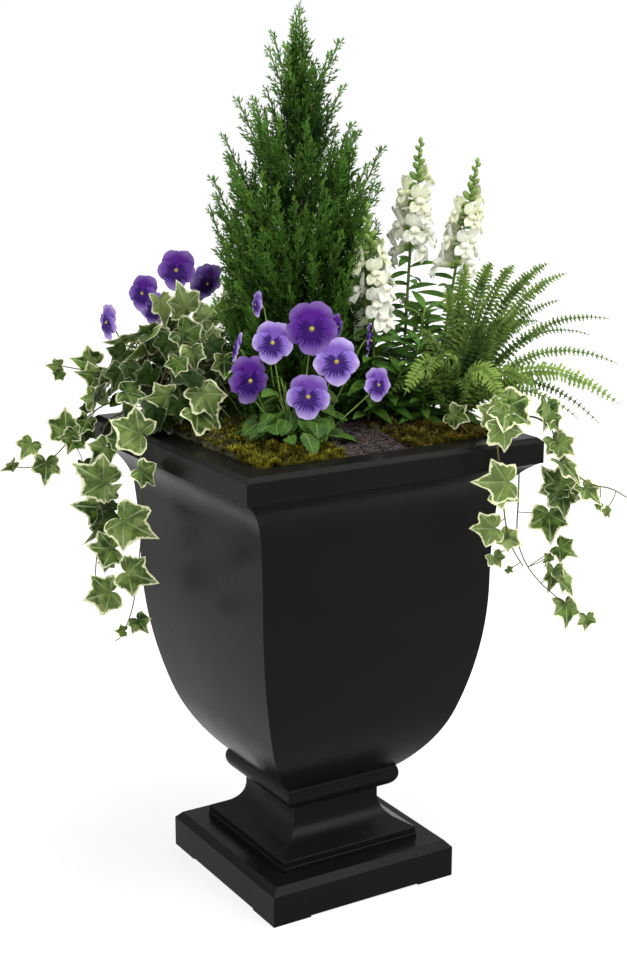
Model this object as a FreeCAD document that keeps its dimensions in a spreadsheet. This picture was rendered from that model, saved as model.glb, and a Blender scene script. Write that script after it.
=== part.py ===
import FreeCAD, Part

# Square urn planter: a moulded bowl with a wide rim, bolted to a moulded pedestal with a round
# collar, a hollowed neck and a stepped plinth. A drop-in liner pot stands inside the bowl and
# holds the whole planting, which lifts out with it. Millimetres, +Z up, the origin on the floor
# under the middle of the plinth. The wide front face looks along -Y.

import math
import os
import re

import Sketcher
from FreeCAD import Placement, Rotation, Vector

SIZES = {
    # bowl
    "rim_width": 508,  # outside of the rim band
    "band_height": 33.5,  # upright face of the rim
    "band_facet": 1.3,  # broken edge at the top of the band
    "lip_inset": 7.6,  # shallow bevel from the band to the flat rim top
    "lip_rise": 5.4,
    "opening_width": 418,  # mouth of the bowl
    "body_width": 400,  # where the bowl's sides stand upright
    "foot_width": 198,  # bottom of the bowl, on the collar
    "bowl_height": 510,  # bottom of the bowl to the underside of the rim
    "belly_height": 325.3,  # bottom of the bowl to where its sides stand upright
    "side_radius": 720,  # long arc of the sides
    "side_sweep": 17.8,  # degrees of that arc
    "flare_radius": 1170,  # gentle outward arc above it
    "flare_sweep": 5.6,
    "cove_ledge": 2,  # flat left between the cove and the band
    "wall": 5,  # moulded wall of bowl and pedestal
    # pedestal
    "base_width": 331,
    "base_edge": 49.2,  # upright face of the plinth
    "chamfer_run": 10,
    "chamfer_rise": 10.8,
    "step_width": 247.2,
    "low_step": 7.3,
    "high_step": 10.7,
    "step_inset": 1,
    "step_facet": 1.1,
    "neck_width": 155,
    "scotia_radius": 44,
    "scotia_level": 128,
    "bead_drop": 12.4,  # top of the collar down to its widest line
    "pedestal_height": 181.2,
    "corner_foot": 66,  # length of each moulded corner foot
    "foot_relief": 2.5,  # recess between the feet
    # cover under the plinth
    "cover_thickness": 3,
    "cover_level": 4.5,
    "cover_gap": 0.5,
    "boss_radius": 7,
    "boss_inset": 24,  # boss centre from the outside of the plinth
    "screw_radius": 2,
    "screw_length": 16,
    "screw_head_radius": 4.2,
    "screw_head_height": 2.2,
    "drip_radius": 8,
    "drip_circle": 70,
    # joint between bowl and pedestal
    "bolt_radius": 4,
    "bolt_circle": 55,
    "bolt_gap": 0.4,
    "bolt_spare": 7,  # thread that stands out of the nut
    "washer_radius": 9,
    "washer_thickness": 1.6,
    "hex_corner": 7.5,  # centre to corner of head and nut
    "head_height": 5.3,
    "nut_height": 6.5,
    # drain plug
    "drain_radius": 15,
    "drain_gap": 0.5,
    "plug_flange": 22,
    "plug_cap": 5,
    "plug_grip_radius": 7,
    "plug_grip": 12,
    "plug_tail": 8,  # below the floor plates
    "seal_thickness": 2,
    # liner pot and its filling
    "liner_gap": 4,  # least gap from the liner to the bowl, at its mouth and in its waist
    "liner_wall": 3,
    "liner_bottom_gap": 21.5,  # liner's bottom edge to the bowl
    "liner_stand": 54,  # bowl floor to the liner's bottom
    "liner_drop": 16,  # rim top down to the liner's edge
    "liner_foot_radius": 11,
    "liner_foot_inset": 65,
    "liner_drain_radius": 6,
    "liner_drain_circle": 80,
    "gravel_depth": 38,
    "fabric_thickness": 2,
    "top_edge": 4,  # rim top down to the moss at the edge of the mouth
    "top_crown": 16,  # how far the moss domes up in the middle
    "top_gap": 1.5,
    "patch_gap": 1.5,  # between patches of moss and bark
    "mulch_left": -60,
    "mulch_right": 48,
    # conifer
    "conifer_x": 5,
    "conifer_y": 45,
    "conifer_height": 632,  # rim top to the tip
    "conifer_spread": 262,
    "trunk_radius": 9,
    # other plants
    "stem_radius": 1.4,
    "flower_stem_radius": 3,
    "leaf_thickness": 1.2,
    "spike_radius": 34,
    "lance_length": 62,
    "frond_width": 58,
    "frond_thickness": 2,
    "fern_x": 178,
    "fern_y": -130,
    "viola_x": -88,
    "viola_y": -96,
    "viola_size": 60,
    "viola_leaf": 52,
    "ivy_leaf": 58,
}

doc = FreeCAD.newDocument("urn_planter")
sheet = doc.addObject("Spreadsheet::Sheet", "Sizes")
for row, (alias, number) in enumerate(SIZES.items(), start=1):
    sheet.set(f"A{row}", alias.replace("_", " "))
    sheet.set(f"B{row}", str(number))
    sheet.setAlias(f"B{row}", alias)
doc.recompute()
lines = doc.addObject("App::VarSet", "Lines")
derived = []
pieces = []


# ---------------------------------------------------------------- sizes and expressions


def cells(expression):
    """Qualifies the names of sizes and derived lines in an expression."""

    def full(found):
        name = found.group(0)
        if name in SIZES:
            return f"Sizes.{name}"
        return f"Lines.{name}" if name in derived else name

    return re.sub(r"[a-z][a-z_0-9]*", full, expression)


def value(expression):
    return float(lines.evalExpression(cells(expression)))


def derive(name, expression):
    """A line worked out from the driving sizes, kept as a named value of the document."""
    lines.addProperty("App::PropertyFloat", name)
    lines.setExpression(name, cells(expression))
    lines.recompute()
    derived.append(name)


def bind(thing, **expressions):
    for name, expression in expressions.items():
        thing.setExpression(name, cells(expression))
    return thing


def place(thing, x="0", y="0", z="0", rotation=None):
    thing.Placement = Placement(Vector(value(x), value(y), value(z)), rotation or Rotation())
    thing.setExpression("Placement.Base.x", cells(x))
    thing.setExpression("Placement.Base.y", cells(y))
    thing.setExpression("Placement.Base.z", cells(z))
    return thing


# ---------------------------------------------------------------- solids


def box(name, width, depth, height, x="0", y="0", z="0"):
    """A box centred on x and y, standing on z."""
    made = bind(doc.addObject("Part::Box", name), Length=width, Width=depth, Height=height)
    return place(made, f"{x} - ({width}) / 2", f"{y} - ({depth}) / 2", z)


def cylinder(name, radius, height, x="0", y="0", z="0"):
    made = bind(doc.addObject("Part::Cylinder", name), Radius=radius, Height=height)
    return place(made, x, y, z)


def hexagon(name, corner, height, x="0", y="0", z="0"):
    made = doc.addObject("Part::Prism", name)
    made.Polygon = 6
    return place(bind(made, Circumradius=corner, Height=height), x, y, z)


def frustum(name, low_half, low_z, high_half, high_z):
    """A square block that widens from low_half to high_half. Its own height runs along Y."""
    made = doc.addObject("Part::Wedge", name)
    low, high = f"-({low_half})", f"-({high_half})"
    bind(made, Xmin=low, Zmin=low, Xmax=low_half, Zmax=low_half)
    bind(made, X2min=high, Z2min=high, X2max=high_half, Z2max=high_half)
    bind(made, Ymin="0", Ymax=f"({high_z}) - ({low_z})")
    return place(made, z=low_z, rotation=Rotation(Vector(1, 0, 0), 90))


def cut(name, base, tool):
    made = doc.addObject("Part::Cut", name)
    made.Base, made.Tool = base, tool
    return made


def gather(kind, name, shapes):
    made = doc.addObject(kind, name)
    if kind == "Part::Compound":
        made.Links = shapes
    else:
        made.Shapes = shapes
    return made


def fuse(name, *shapes):
    return gather("Part::MultiFuse", name, list(shapes))


def group(name, shapes):
    """Separate solids that share one piece's name."""
    return gather("Part::Compound", name, list(shapes))


def square_solid(name, sketch, width):
    """The solid whose every level is a square, as wide as the outline is there."""
    across = doc.addObject("Part::Extrusion", name + "_across")
    across.Base, across.DirMode = sketch, "Normal"
    across.Solid, across.Symmetric = True, True
    bind(across, LengthFwd=width)
    along = doc.addObject("Part::Mirroring", name + "_along")
    along.Source, along.Normal = across, Vector(1, -1, 0)
    return gather("Part::MultiCommon", name, [across, along])


def piece(thing, name):
    thing.Label = name
    pieces.append(thing)
    return thing


# ---------------------------------------------------------------- outlines


def outline(name, right_side):
    """An upright closed sketch, the same on both sides of the middle.

    right_side lists the right half from the bottom to the top, as (x, z) or, where an arc leads
    to the next point, (x, z, centre x, centre z)."""
    left_side = []
    for index in range(len(right_side) - 1, -1, -1):
        x, z = right_side[index][:2]
        centre = right_side[index - 1][2:] if index else ()
        turned = (f"-({centre[0]})", centre[1]) if centre else ()
        left_side.append((f"-({x})", z, *turned))
    corners = list(right_side) + left_side
    sketch = doc.addObject("Sketcher::SketchObject", name)
    sketch.Placement = Placement(Vector(), Rotation(Vector(1, 0, 0), 90))
    spots = [Vector(value(c[0]), value(c[1]), 0) for c in corners]
    edges, starts, ends = [], [], []
    for index, corner in enumerate(corners):
        here, there = spots[index], spots[(index + 1) % len(spots)]
        if len(corner) == 2:
            edges.append(Part.LineSegment(here, there))
            starts.append(1)
            ends.append(2)
            continue
        centre = Vector(value(corner[2]), value(corner[3]), 0)
        reach = (here - centre).Length
        middle = ((here - centre) + (there - centre)).normalize() * reach + centre
        edges.append(Part.Arc(here, middle, there))
        turns_left = (here - centre).cross(there - centre).z > 0
        starts.append(1 if turns_left else 2)
        ends.append(2 if turns_left else 1)
    sketch.addGeometry(edges)
    for index, corner in enumerate(corners):
        after = (index + 1) % len(corners)
        sketch.addConstraint(
            Sketcher.Constraint("Coincident", index, ends[index], after, starts[after])
        )
        for axis, expression in (("DistanceX", corner[0]), ("DistanceY", corner[1])):
            size = value(expression)
            if abs(size) < 1e-9:
                sketch.addConstraint(
                    Sketcher.Constraint("PointOnObject", index, starts[index], -1)
                )
                continue
            fixed = sketch.addConstraint(
                Sketcher.Constraint(axis, -1, 1, index, starts[index], size)
            )
            sketch.setExpression(f"Constraints[{fixed}]", cells(expression))
        if len(corner) == 4:
            x, z, centre_x, centre_z = corner
            radius = f"sqrt((({x}) - ({centre_x}))^2 + (({z}) - ({centre_z}))^2)"
            fixed = sketch.addConstraint(
                Sketcher.Constraint("Radius", index, value(radius))
            )
            sketch.setExpression(f"Constraints[{fixed}]", cells(radius))
    return sketch


# ---------------------------------------------------------------- derived lines

derive("rim_half", "rim_width / 2")
derive("opening_half", "opening_width / 2")
derive("body_half", "body_width / 2")
derive("foot_half", "foot_width / 2")
derive("base_half", "base_width / 2")
derive("step_half", "step_width / 2")
derive("neck_half", "neck_width / 2")
derive("body_level", "pedestal_height + belly_height")
derive("rim_level", "pedestal_height + bowl_height")
derive("band_top", "rim_level + band_height")
derive("rim_top", "band_top + lip_rise")
derive("floor_top", "pedestal_height + wall")
derive("plate_under", "pedestal_height - wall")
# the long arc of the side, then the belly arc that meets it and ends on the foot
derive("side_cos", "cos(side_sweep * 1 deg)")
derive("side_sin", "sin(side_sweep * 1 deg)")
derive("side_x", "body_half - side_radius")
derive("turn_x", "side_x + side_radius * side_cos")
derive("turn_z", "body_level - side_radius * side_sin")
derive("chord_x", "foot_half - turn_x")
derive("chord_z", "pedestal_height - turn_z")
derive(
    "belly_radius",
    "(chord_x^2 + chord_z^2) / (2 * (chord_z * side_sin - chord_x * side_cos))",
)
derive("belly_x", "turn_x - belly_radius * side_cos")
derive("belly_z", "turn_z + belly_radius * side_sin")
# the gentle flare, then the cove that meets it and ends under the rim
derive("flare_cos", "cos(flare_sweep * 1 deg)")
derive("flare_sin", "sin(flare_sweep * 1 deg)")
derive("flare_x", "body_half + flare_radius")
derive("lift_x", "flare_x - flare_radius * flare_cos")
derive("lift_z", "body_level + flare_radius * flare_sin")
derive("soffit_x", "rim_half - cove_ledge")
derive("reach_x", "soffit_x - lift_x")
derive("reach_z", "rim_level - lift_z")
derive(
    "cove_radius",
    "(reach_x^2 + reach_z^2) / (2 * (reach_x * flare_cos - reach_z * flare_sin))",
)
derive("cove_x", "lift_x + cove_radius * flare_cos")
derive("cove_z", "lift_z - cove_radius * flare_sin")
# collar, neck and plinth
derive("bead_level", "pedestal_height - bead_drop")
derive("bead_radius", "sqrt((foot_half - neck_half)^2 + bead_drop^2)")
derive("base_top", "base_edge + chamfer_rise")
derive("low_step_top", "base_top + low_step")
derive("step_top", "low_step_top + high_step")
derive("top_step_half", "step_half - step_inset")
derive("scotia_x", "neck_half + scotia_radius")
# the slope runs from the top step to where it touches the scotia's circle
derive("slope_x", "top_step_half - step_facet - scotia_x")
derive("slope_z", "step_top - scotia_level")
derive("slope_square", "slope_x^2 + slope_z^2")
derive("touch_root", "sqrt(slope_square - scotia_radius^2)")
derive(
    "touch_x",
    "scotia_x + scotia_radius * (scotia_radius * slope_x + touch_root * slope_z) / slope_square",
)
derive(
    "touch_z",
    "scotia_level + scotia_radius * (scotia_radius * slope_z - touch_root * slope_x)"
    " / slope_square",
)
derive("slope_run", "(touch_z - step_top) / (top_step_half - step_facet - touch_x)")
derive("inward_x", "(touch_x - scotia_x) / scotia_radius * wall")
derive("inward_z", "(touch_z - scotia_level) / scotia_radius * wall")
derive("riser_inside", "top_step_half - wall")
derive(
    "riser_inside_top",
    "touch_z + inward_z - slope_run * (riser_inside - touch_x - inward_x)",
)


# ---------------------------------------------------------------- urn


def make_bowl():
    outside = outline(
        "bowl_outline",
        [
            ("foot_half", "pedestal_height", "belly_x", "belly_z"),
            ("turn_x", "turn_z", "side_x", "body_level"),
            ("body_half", "body_level", "flare_x", "body_level"),
            ("lift_x", "lift_z", "cove_x", "cove_z"),
            ("soffit_x", "rim_level"),
            ("rim_half", "rim_level"),
            ("rim_half", "band_top - band_facet"),
            ("rim_half - band_facet", "band_top"),
            ("rim_half - lip_inset", "rim_top"),
        ],
    )
    floor_x = "belly_x + sqrt((belly_radius - wall)^2 - (floor_top - belly_z)^2)"
    band_z = "cove_z + sqrt((cove_radius + wall)^2 - (cove_x - rim_half + wall)^2)"
    inside = outline(
        "bowl_hollow_outline",
        [
            (floor_x, "floor_top", "belly_x", "belly_z"),
            ("turn_x - wall * side_cos", "turn_z + wall * side_sin", "side_x", "body_level"),
            ("body_half - wall", "body_level", "flare_x", "body_level"),
            ("lift_x - wall * flare_cos", "lift_z + wall * flare_sin", "cove_x", "cove_z"),
            ("rim_half - wall", band_z),
            ("rim_half - wall", "rim_top - wall - lip_rise"),
            ("rim_half - wall - lip_inset", "rim_top - wall"),
        ],
    )
    holes = [
        square_solid("bowl_hollow", inside, "rim_width"),
        box("bowl_mouth", "opening_width", "opening_width", "3 * wall", z="rim_top - 2 * wall"),
        cylinder("floor_drain", "drain_radius", "3 * wall", z="pedestal_height - wall"),
        *bolt_holes("floor_bolt_hole"),
    ]
    solid = square_solid("bowl_block", outside, "2 * rim_width")
    piece(cut("bowl_shell", solid, fuse("bowl_openings", *holes)), "bowl_shell")


def bolt_spots():
    """Where the four joint bolts stand: on the middle lines of the floor."""
    for turn in range(4):
        angle = f"{90 * turn} * 1 deg"
        yield turn, f"bolt_circle * cos({angle})", f"bolt_circle * sin({angle})"


def bolt_holes(name):
    depth, low = "4 * wall", "pedestal_height - 2 * wall"
    return [
        cylinder(f"{name}_{turn}", "bolt_radius + bolt_gap", depth, x, y, low)
        for turn, x, y in bolt_spots()
    ]


def boss_spots():
    for turn, (side_x, side_y) in enumerate([(1, 1), (-1, 1), (-1, -1), (1, -1)]):
        reach = "(base_half - boss_inset)"
        yield turn, f"{side_x} * {reach}", f"{side_y} * {reach}"


def make_pedestal():
    outside = outline(
        "pedestal_outline",
        [
            ("base_half", "0"),
            ("base_half", "base_edge"),
            ("base_half - chamfer_run", "base_top"),
            ("step_half", "base_top"),
            ("step_half", "low_step_top - step_facet"),
            ("step_half - step_facet", "low_step_top"),
            ("top_step_half", "low_step_top"),
            ("top_step_half", "step_top - step_facet"),
            ("top_step_half - step_facet", "step_top"),
            ("touch_x", "touch_z", "scotia_x", "scotia_level"),
            ("neck_half", "scotia_level"),
            ("neck_half", "bead_level - bead_radius", "neck_half", "bead_level"),
            ("foot_half", "pedestal_height"),
        ],
    )
    neck_end = "bead_level - sqrt((bead_radius - wall)^2 - wall^2)"
    plate_x = "neck_half + sqrt((bead_radius - wall)^2 - (plate_under - bead_level)^2)"
    inside = outline(
        "pedestal_hollow_outline",
        [
            ("base_half - wall", "-wall"),
            ("base_half - wall", "base_edge - wall"),
            ("base_half - wall - chamfer_run", "base_top - wall"),
            ("riser_inside", "base_top - wall"),
            ("riser_inside", "riser_inside_top"),
            ("touch_x + inward_x", "touch_z + inward_z", "scotia_x", "scotia_level"),
            ("neck_half - wall", "scotia_level"),
            ("neck_half - wall", neck_end, "neck_half", "bead_level"),
            (plate_x, "plate_under"),
        ],
    )
    wall = cut(
        "pedestal_wall",
        square_solid("pedestal_block", outside, "2 * base_width"),
        square_solid("pedestal_hollow", inside, "2 * base_width"),
    )
    cover_top = "cover_level + cover_thickness"
    bosses, holes = [], bolt_holes("plate_bolt_hole")
    for turn, x, y in boss_spots():
        boss_height = f"base_top - wall / 2 - ({cover_top})"
        bosses.append(cylinder(f"boss_{turn}", "boss_radius", boss_height, x, y, cover_top))
        pilot = "screw_length + 2 * screw_radius"
        holes.append(cylinder(f"pilot_{turn}", "screw_radius", pilot, x, y, "cover_level"))
    clear = "base_width - 2 * corner_foot"
    holes += [
        cylinder("plate_drain", "drain_radius", "3 * wall", z="plate_under - wall"),
        box("relief_across", clear, "2 * base_width", "foot_relief"),
        box("relief_along", "2 * base_width", clear, "foot_relief"),
    ]
    joined = fuse("pedestal_with_bosses", wall, *bosses)
    piece(cut("pedestal_shell", joined, fuse("pedestal_openings", *holes)), "pedestal_shell")


def origin_plane(body, role):
    return next(f for f in body.Origin.OriginFeatures if f.Role == role)


def body_sketch(body, name, level=None):
    """A sketch on the body's own ground plane, raised to a level."""
    sketch = body.newObject("Sketcher::SketchObject", name)
    sketch.AttachmentSupport = [(origin_plane(body, "XY_Plane"), "")]
    sketch.MapMode = "FlatFace"
    if level:
        sketch.setExpression("AttachmentOffset.Base.z", cells(level))
    return sketch


def sketch_circle(sketch, radius, x=None, y=None):
    """A circle about the origin, or about the point x, y."""
    middle = Vector(value(x) if x else 0, value(y) if y else 0, 0)
    drawn = sketch.addGeometry(Part.Circle(middle, Vector(0, 0, 1), value(radius)))
    for axis, expression in (("DistanceX", x), ("DistanceY", y)):
        if expression:
            fixed = sketch.addConstraint(
                Sketcher.Constraint(axis, -1, 1, drawn, 3, value(expression))
            )
            sketch.setExpression(f"Constraints[{fixed}]", cells(expression))
    if not x and not y:
        sketch.addConstraint(Sketcher.Constraint("Coincident", drawn, 3, -1, 1))
    elif not y:
        sketch.addConstraint(Sketcher.Constraint("PointOnObject", drawn, 3, -1))
    fixed = sketch.addConstraint(Sketcher.Constraint("Radius", drawn, value(radius)))
    sketch.setExpression(f"Constraints[{fixed}]", cells(radius))


def sketch_square(sketch, half):
    """A square of the given half width, centred on the origin."""
    reach = value(half)
    spots = [Vector(reach, -reach), Vector(reach, reach), Vector(-reach, reach)]
    spots.append(Vector(-reach, -reach))
    for index, spot in enumerate(spots):
        sketch.addGeometry(Part.LineSegment(spot, spots[(index + 1) % 4]))
    for index in range(4):
        after = (index + 1) % 4
        sketch.addConstraint(Sketcher.Constraint("Coincident", index, 2, after, 1))
        kind = "Vertical" if index % 2 == 0 else "Horizontal"
        sketch.addConstraint(Sketcher.Constraint(kind, index))
    for index, axis, sign in ((0, "DistanceX", ""), (1, "DistanceY", ""), (2, "DistanceX", "-")):
        size = -reach if sign else reach
        fixed = sketch.addConstraint(Sketcher.Constraint(axis, -1, 1, index, 1 + index % 2, size))
        sketch.setExpression(f"Constraints[{fixed}]", cells(f"{sign}({half})"))
    fixed = sketch.addConstraint(Sketcher.Constraint("DistanceY", -1, 1, 3, 1, -reach))
    sketch.setExpression(f"Constraints[{fixed}]", cells(f"-({half})"))


def add_pocket(body, name, sketch, depth):
    """A cut through the plate, downwards from the sketch's level."""
    before = body.Shape.Volume
    made = body.newObject("PartDesign::Pocket", name)
    made.Profile = sketch
    made.Midplane = True
    bind(made, Length=depth)
    doc.recompute()
    if body.Shape.Volume >= before:
        raise RuntimeError(f"{name} cuts nothing")
    return made


def repeat_round(body, name, feature, count):
    made = body.newObject("PartDesign::PolarPattern", name)
    made.Originals = [feature]
    made.Axis = (origin_plane(body, "Z_Axis"), [""])
    made.Angle = 360
    made.Occurrences = count
    body.Tip = made
    doc.recompute()
    return made


def make_base_cover():
    """The plate that closes the hollow plinth, with screw holes and drip holes."""
    body = doc.addObject("PartDesign::Body", "base_cover")
    plate_sketch = body_sketch(body, "cover_outline", "cover_level")
    sketch_square(plate_sketch, "base_half - wall - cover_gap")
    plate = body.newObject("PartDesign::Pad", "cover_plate")
    plate.Profile = plate_sketch
    bind(plate, Length="cover_thickness")
    doc.recompute()
    screw_sketch = body_sketch(body, "cover_screw_hole", "cover_level + cover_thickness / 2")
    reach = "base_half - boss_inset"
    sketch_circle(screw_sketch, "screw_radius + cover_gap / 2", reach, reach)
    screw_hole = add_pocket(body, "cover_screw", screw_sketch, "2 * cover_thickness")
    repeat_round(body, "cover_screws_round", screw_hole, 4)
    drip_sketch = body_sketch(body, "cover_drip_hole", "cover_level + cover_thickness / 2")
    sketch_circle(drip_sketch, "drip_radius", "drip_circle")
    drip_hole = add_pocket(body, "cover_drip", drip_sketch, "2 * cover_thickness")
    repeat_round(body, "cover_drips_round", drip_hole, 4)
    piece(body, "base_cover")


def make_cover_screws():
    made = []
    for turn, x, y in boss_spots():
        head_low = "cover_level - screw_head_height"
        head = cylinder(
            f"screw_head_{turn}", "screw_head_radius", "screw_head_height", x, y, head_low
        )
        shank = cylinder(
            f"screw_shank_{turn}", "screw_radius", "screw_length", x, y, "cover_level"
        )
        made.append(fuse(f"cover_screw_{turn}", head, shank))
    piece(group("cover_screws", made), "cover_screws")


def make_joint():
    """Bolts with a washer over and under the two plates, and nuts below."""
    bolts, washers, nuts = [], [], []
    head_low = "floor_top + washer_thickness"
    nut_top = "plate_under - washer_thickness"
    shank_low = f"{nut_top} - nut_height - bolt_spare"
    for turn, x, y in bolt_spots():
        head = hexagon(f"bolt_head_{turn}", "hex_corner", "head_height", x, y, head_low)
        shank_height = f"{head_low} - ({shank_low})"
        shank = cylinder(f"bolt_shank_{turn}", "bolt_radius", shank_height, x, y, shank_low)
        bolts.append(fuse(f"joint_bolt_{turn}", head, shank))
        for side, low in (("over", "floor_top"), ("under", nut_top)):
            ring = cylinder(
                f"washer_{side}_{turn}", "washer_radius", "washer_thickness", x, y, low
            )
            bore = cylinder(
                f"washer_bore_{side}_{turn}", "bolt_radius + bolt_gap", "nut_height", x, y, low
            )
            washers.append(cut(f"joint_washer_{side}_{turn}", ring, bore))
        block = hexagon(
            f"nut_block_{turn}", "hex_corner", "nut_height", x, y, f"{nut_top} - nut_height"
        )
        thread = cylinder(
            f"nut_bore_{turn}", "bolt_radius", "3 * nut_height", x, y, f"{nut_top} - 2 * nut_height"
        )
        nuts.append(cut(f"joint_nut_{turn}", block, thread))
    piece(group("joint_bolts", bolts), "joint_bolts")
    piece(group("joint_washers", washers), "joint_washers")
    piece(group("joint_nuts", nuts), "joint_nuts")


def make_drain_plug():
    """A flanged plug with a pull grip, standing on a soft ring round the drain."""
    body = doc.addObject("PartDesign::Body", "drain_plug")
    flange_low = "floor_top + seal_thickness"
    steps = (
        ("plug_tail_disc", "drain_radius - drain_gap", "plate_under - plug_tail", flange_low),
        ("plug_cap_disc", "plug_flange", flange_low, f"{flange_low} + plug_cap"),
        (
            "plug_grip_disc",
            "plug_grip_radius",
            f"{flange_low} + plug_cap",
            f"{flange_low} + plug_cap + plug_grip",
        ),
    )
    for name, radius, low, high in steps:
        sketch = body_sketch(body, name + "_sketch", low)
        sketch_circle(sketch, radius)
        disc = body.newObject("PartDesign::Pad", name)
        disc.Profile = sketch
        bind(disc, Length=f"({high}) - ({low})")
    piece(body, "drain_plug")
    ring = cylinder("seal_ring", "plug_flange", "seal_thickness", z="floor_top")
    bore = cylinder("seal_bore", "drain_radius", "3 * seal_thickness", z="floor_top - seal_thickness")
    piece(cut("drain_seal", ring, bore), "drain_seal")


# ---------------------------------------------------------------- liner pot and filling

derive("liner_bottom", "floor_top + liner_stand")
derive("liner_top", "rim_top - liner_drop")
derive(
    "liner_bottom_half",
    "belly_x + sqrt((belly_radius - wall)^2 - (liner_bottom - belly_z)^2) - liner_bottom_gap",
)
# the liner widens evenly to the bowl's mouth, or less where the bowl's waist is nearer
derive("waist_half", "lift_x - wall - liner_gap")
derive("waist_slope", "(waist_half - liner_bottom_half) / (lift_z - liner_bottom)")
derive(
    "liner_half",
    "min(opening_half - liner_gap; liner_bottom_half + waist_slope * (liner_top - liner_bottom))",
)
derive("liner_slope", "(liner_half - liner_bottom_half) / (liner_top - liner_bottom)")
derive("gravel_low", "liner_bottom + liner_wall")
derive("fabric_low", "gravel_low + gravel_depth")
derive("soil_low", "fabric_low + fabric_thickness")
derive("soil_top", "liner_top")


def inside_liner(level):
    """Half the clear width inside the liner at a level."""
    return f"liner_bottom_half - liner_wall + liner_slope * ({level} - liner_bottom)"


def make_liner():
    block = frustum(
        "liner_block", "liner_bottom_half", "liner_bottom", "liner_half", "liner_top"
    )
    above = "liner_top + liner_wall"
    room = frustum(
        "liner_room", inside_liner("gravel_low"), "gravel_low", inside_liner(above), above
    )
    feet, holes = [], [room]
    for side_x in (1, -1):
        for side_y in (1, -1):
            feet.append(
                cylinder(
                    f"liner_foot_{len(feet)}",
                    "liner_foot_radius",
                    "liner_stand + liner_wall / 2",
                    f"{side_x} * liner_foot_inset",
                    f"{side_y} * liner_foot_inset",
                    "floor_top",
                )
            )
    for turn in range(4):
        angle = f"{90 * turn} * 1 deg"
        holes.append(
            cylinder(
                f"liner_drain_{turn}",
                "liner_drain_radius",
                "3 * liner_wall",
                f"liner_drain_circle * cos({angle})",
                f"liner_drain_circle * sin({angle})",
                "liner_bottom - liner_wall",
            )
        )
    joined = fuse("liner_with_feet", block, *feet)
    piece(cut("liner_pot", joined, fuse("liner_openings", *holes)), "liner_pot")


def make_filling():
    for name, low, high in (
        ("gravel", "gravel_low", "fabric_low"),
        ("filter_fabric", "fabric_low", "soil_low"),
        ("potting_soil", "soil_low", "soil_top"),
    ):
        piece(frustum(name, inside_liner(low), low, inside_liner(high), high), name)


def make_top_dressing():
    """Moss left and right of a patch of bark, cut from one low dome."""
    half = "(opening_half - top_gap)"
    edge = "(rim_top - top_edge)"
    dome_radius = f"({half}^2 + top_crown^2) / (2 * top_crown)"
    patches = (
        ("moss_left", f"-{half}", "mulch_left - patch_gap / 2"),
        ("bark_mulch", "mulch_left + patch_gap / 2", "mulch_right - patch_gap / 2"),
        ("moss_right", "mulch_right + patch_gap / 2", half),
    )
    for name, low, high in patches:
        width, middle = f"(({high}) - ({low}))", f"(({high}) + ({low})) / 2"
        depth = f"2 * {half}"
        block = box(name + "_block", width, depth, "3 * top_crown", x=middle, z="soil_top")
        dome = bind(doc.addObject("Part::Cylinder", name + "_dome"), Radius=dome_radius, Height=width)
        turned = Rotation(Vector(0, 1, 0), 90)
        place(dome, low, "0", f"{edge} + top_crown - {dome_radius}", turned)
        piece(gather("Part::MultiCommon", name, [block, dome]), name)


# ---------------------------------------------------------------- plants

UP = Vector(0, 0, 1)
OUTLINES = {  # half outlines of leaf plates: along the leaf, then across it, for a length of 1
    "ivy": [(0, 0), (-0.16, 0.22), (0.02, 0.36), (0.36, 0.56), (0.46, 0.25), (1, 0)],
    "viola": [(0, 0), (0.12, 0.2), (0.45, 0.31), (0.8, 0.22), (1, 0)],
    "lance": [(0, 0), (0.3, 0.12), (0.65, 0.1), (1, 0)],
}


def feature(name, solids):
    made = doc.addObject("Part::Feature", name)
    made.Shape = Part.makeCompound(solids)
    return piece(made, name)


def unit(*numbers):
    return Vector(*numbers).normalize()


def heading(azimuth, rise):
    """A direction from its compass angle, measured from +X towards +Y, and its angle above level."""
    flat = math.cos(math.radians(rise))
    return Vector(
        flat * math.cos(math.radians(azimuth)),
        flat * math.sin(math.radians(azimuth)),
        math.sin(math.radians(rise)),
    )


def leaf_plate(kind, length, base, along, facing, thickness):
    """A flat leaf from its base point, along its midrib, with its upper side to facing."""
    along = Vector(along).normalize()
    across = facing.cross(along).normalize()
    normal = along.cross(across)
    half = OUTLINES[kind]
    ring = half + [(a, -b) for a, b in half[-2:0:-1]]
    spots = [base + along * (a * length) + across * (b * length) for a, b in ring]
    return Part.Face(Part.makePolygon(spots + spots[:1])).extrude(normal * thickness)


def tube(spots, radius):
    """A stem along straight runs joined by tangent arcs as large as the runs allow."""
    edges, here = [], spots[0]
    for before, corner, after in zip(spots, spots[1:], spots[2:]):
        back, on = (before - corner), (after - corner)
        turn = math.pi - back.getAngle(on)
        set_back = 0.45 * min(back.Length, on.Length)
        enters = corner + back * (set_back / back.Length)
        leaves = corner + on * (set_back / on.Length)
        bend = set_back / math.tan(turn / 2)
        to_centre = (back.normalize() + on.normalize()).normalize()
        centre = corner + to_centre * math.hypot(set_back, bend)
        edges.append(Part.LineSegment(here, enters).toShape())
        edges.append(Part.Arc(enters, centre - to_centre * bend, leaves).toShape())
        here = leaves
    edges.append(Part.LineSegment(here, spots[-1]).toShape())
    path = Part.Wire(edges)
    ring = Part.Wire([Part.makeCircle(radius, spots[0], spots[1] - spots[0])])
    return path.makePipeShell([ring], True, False)


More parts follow.
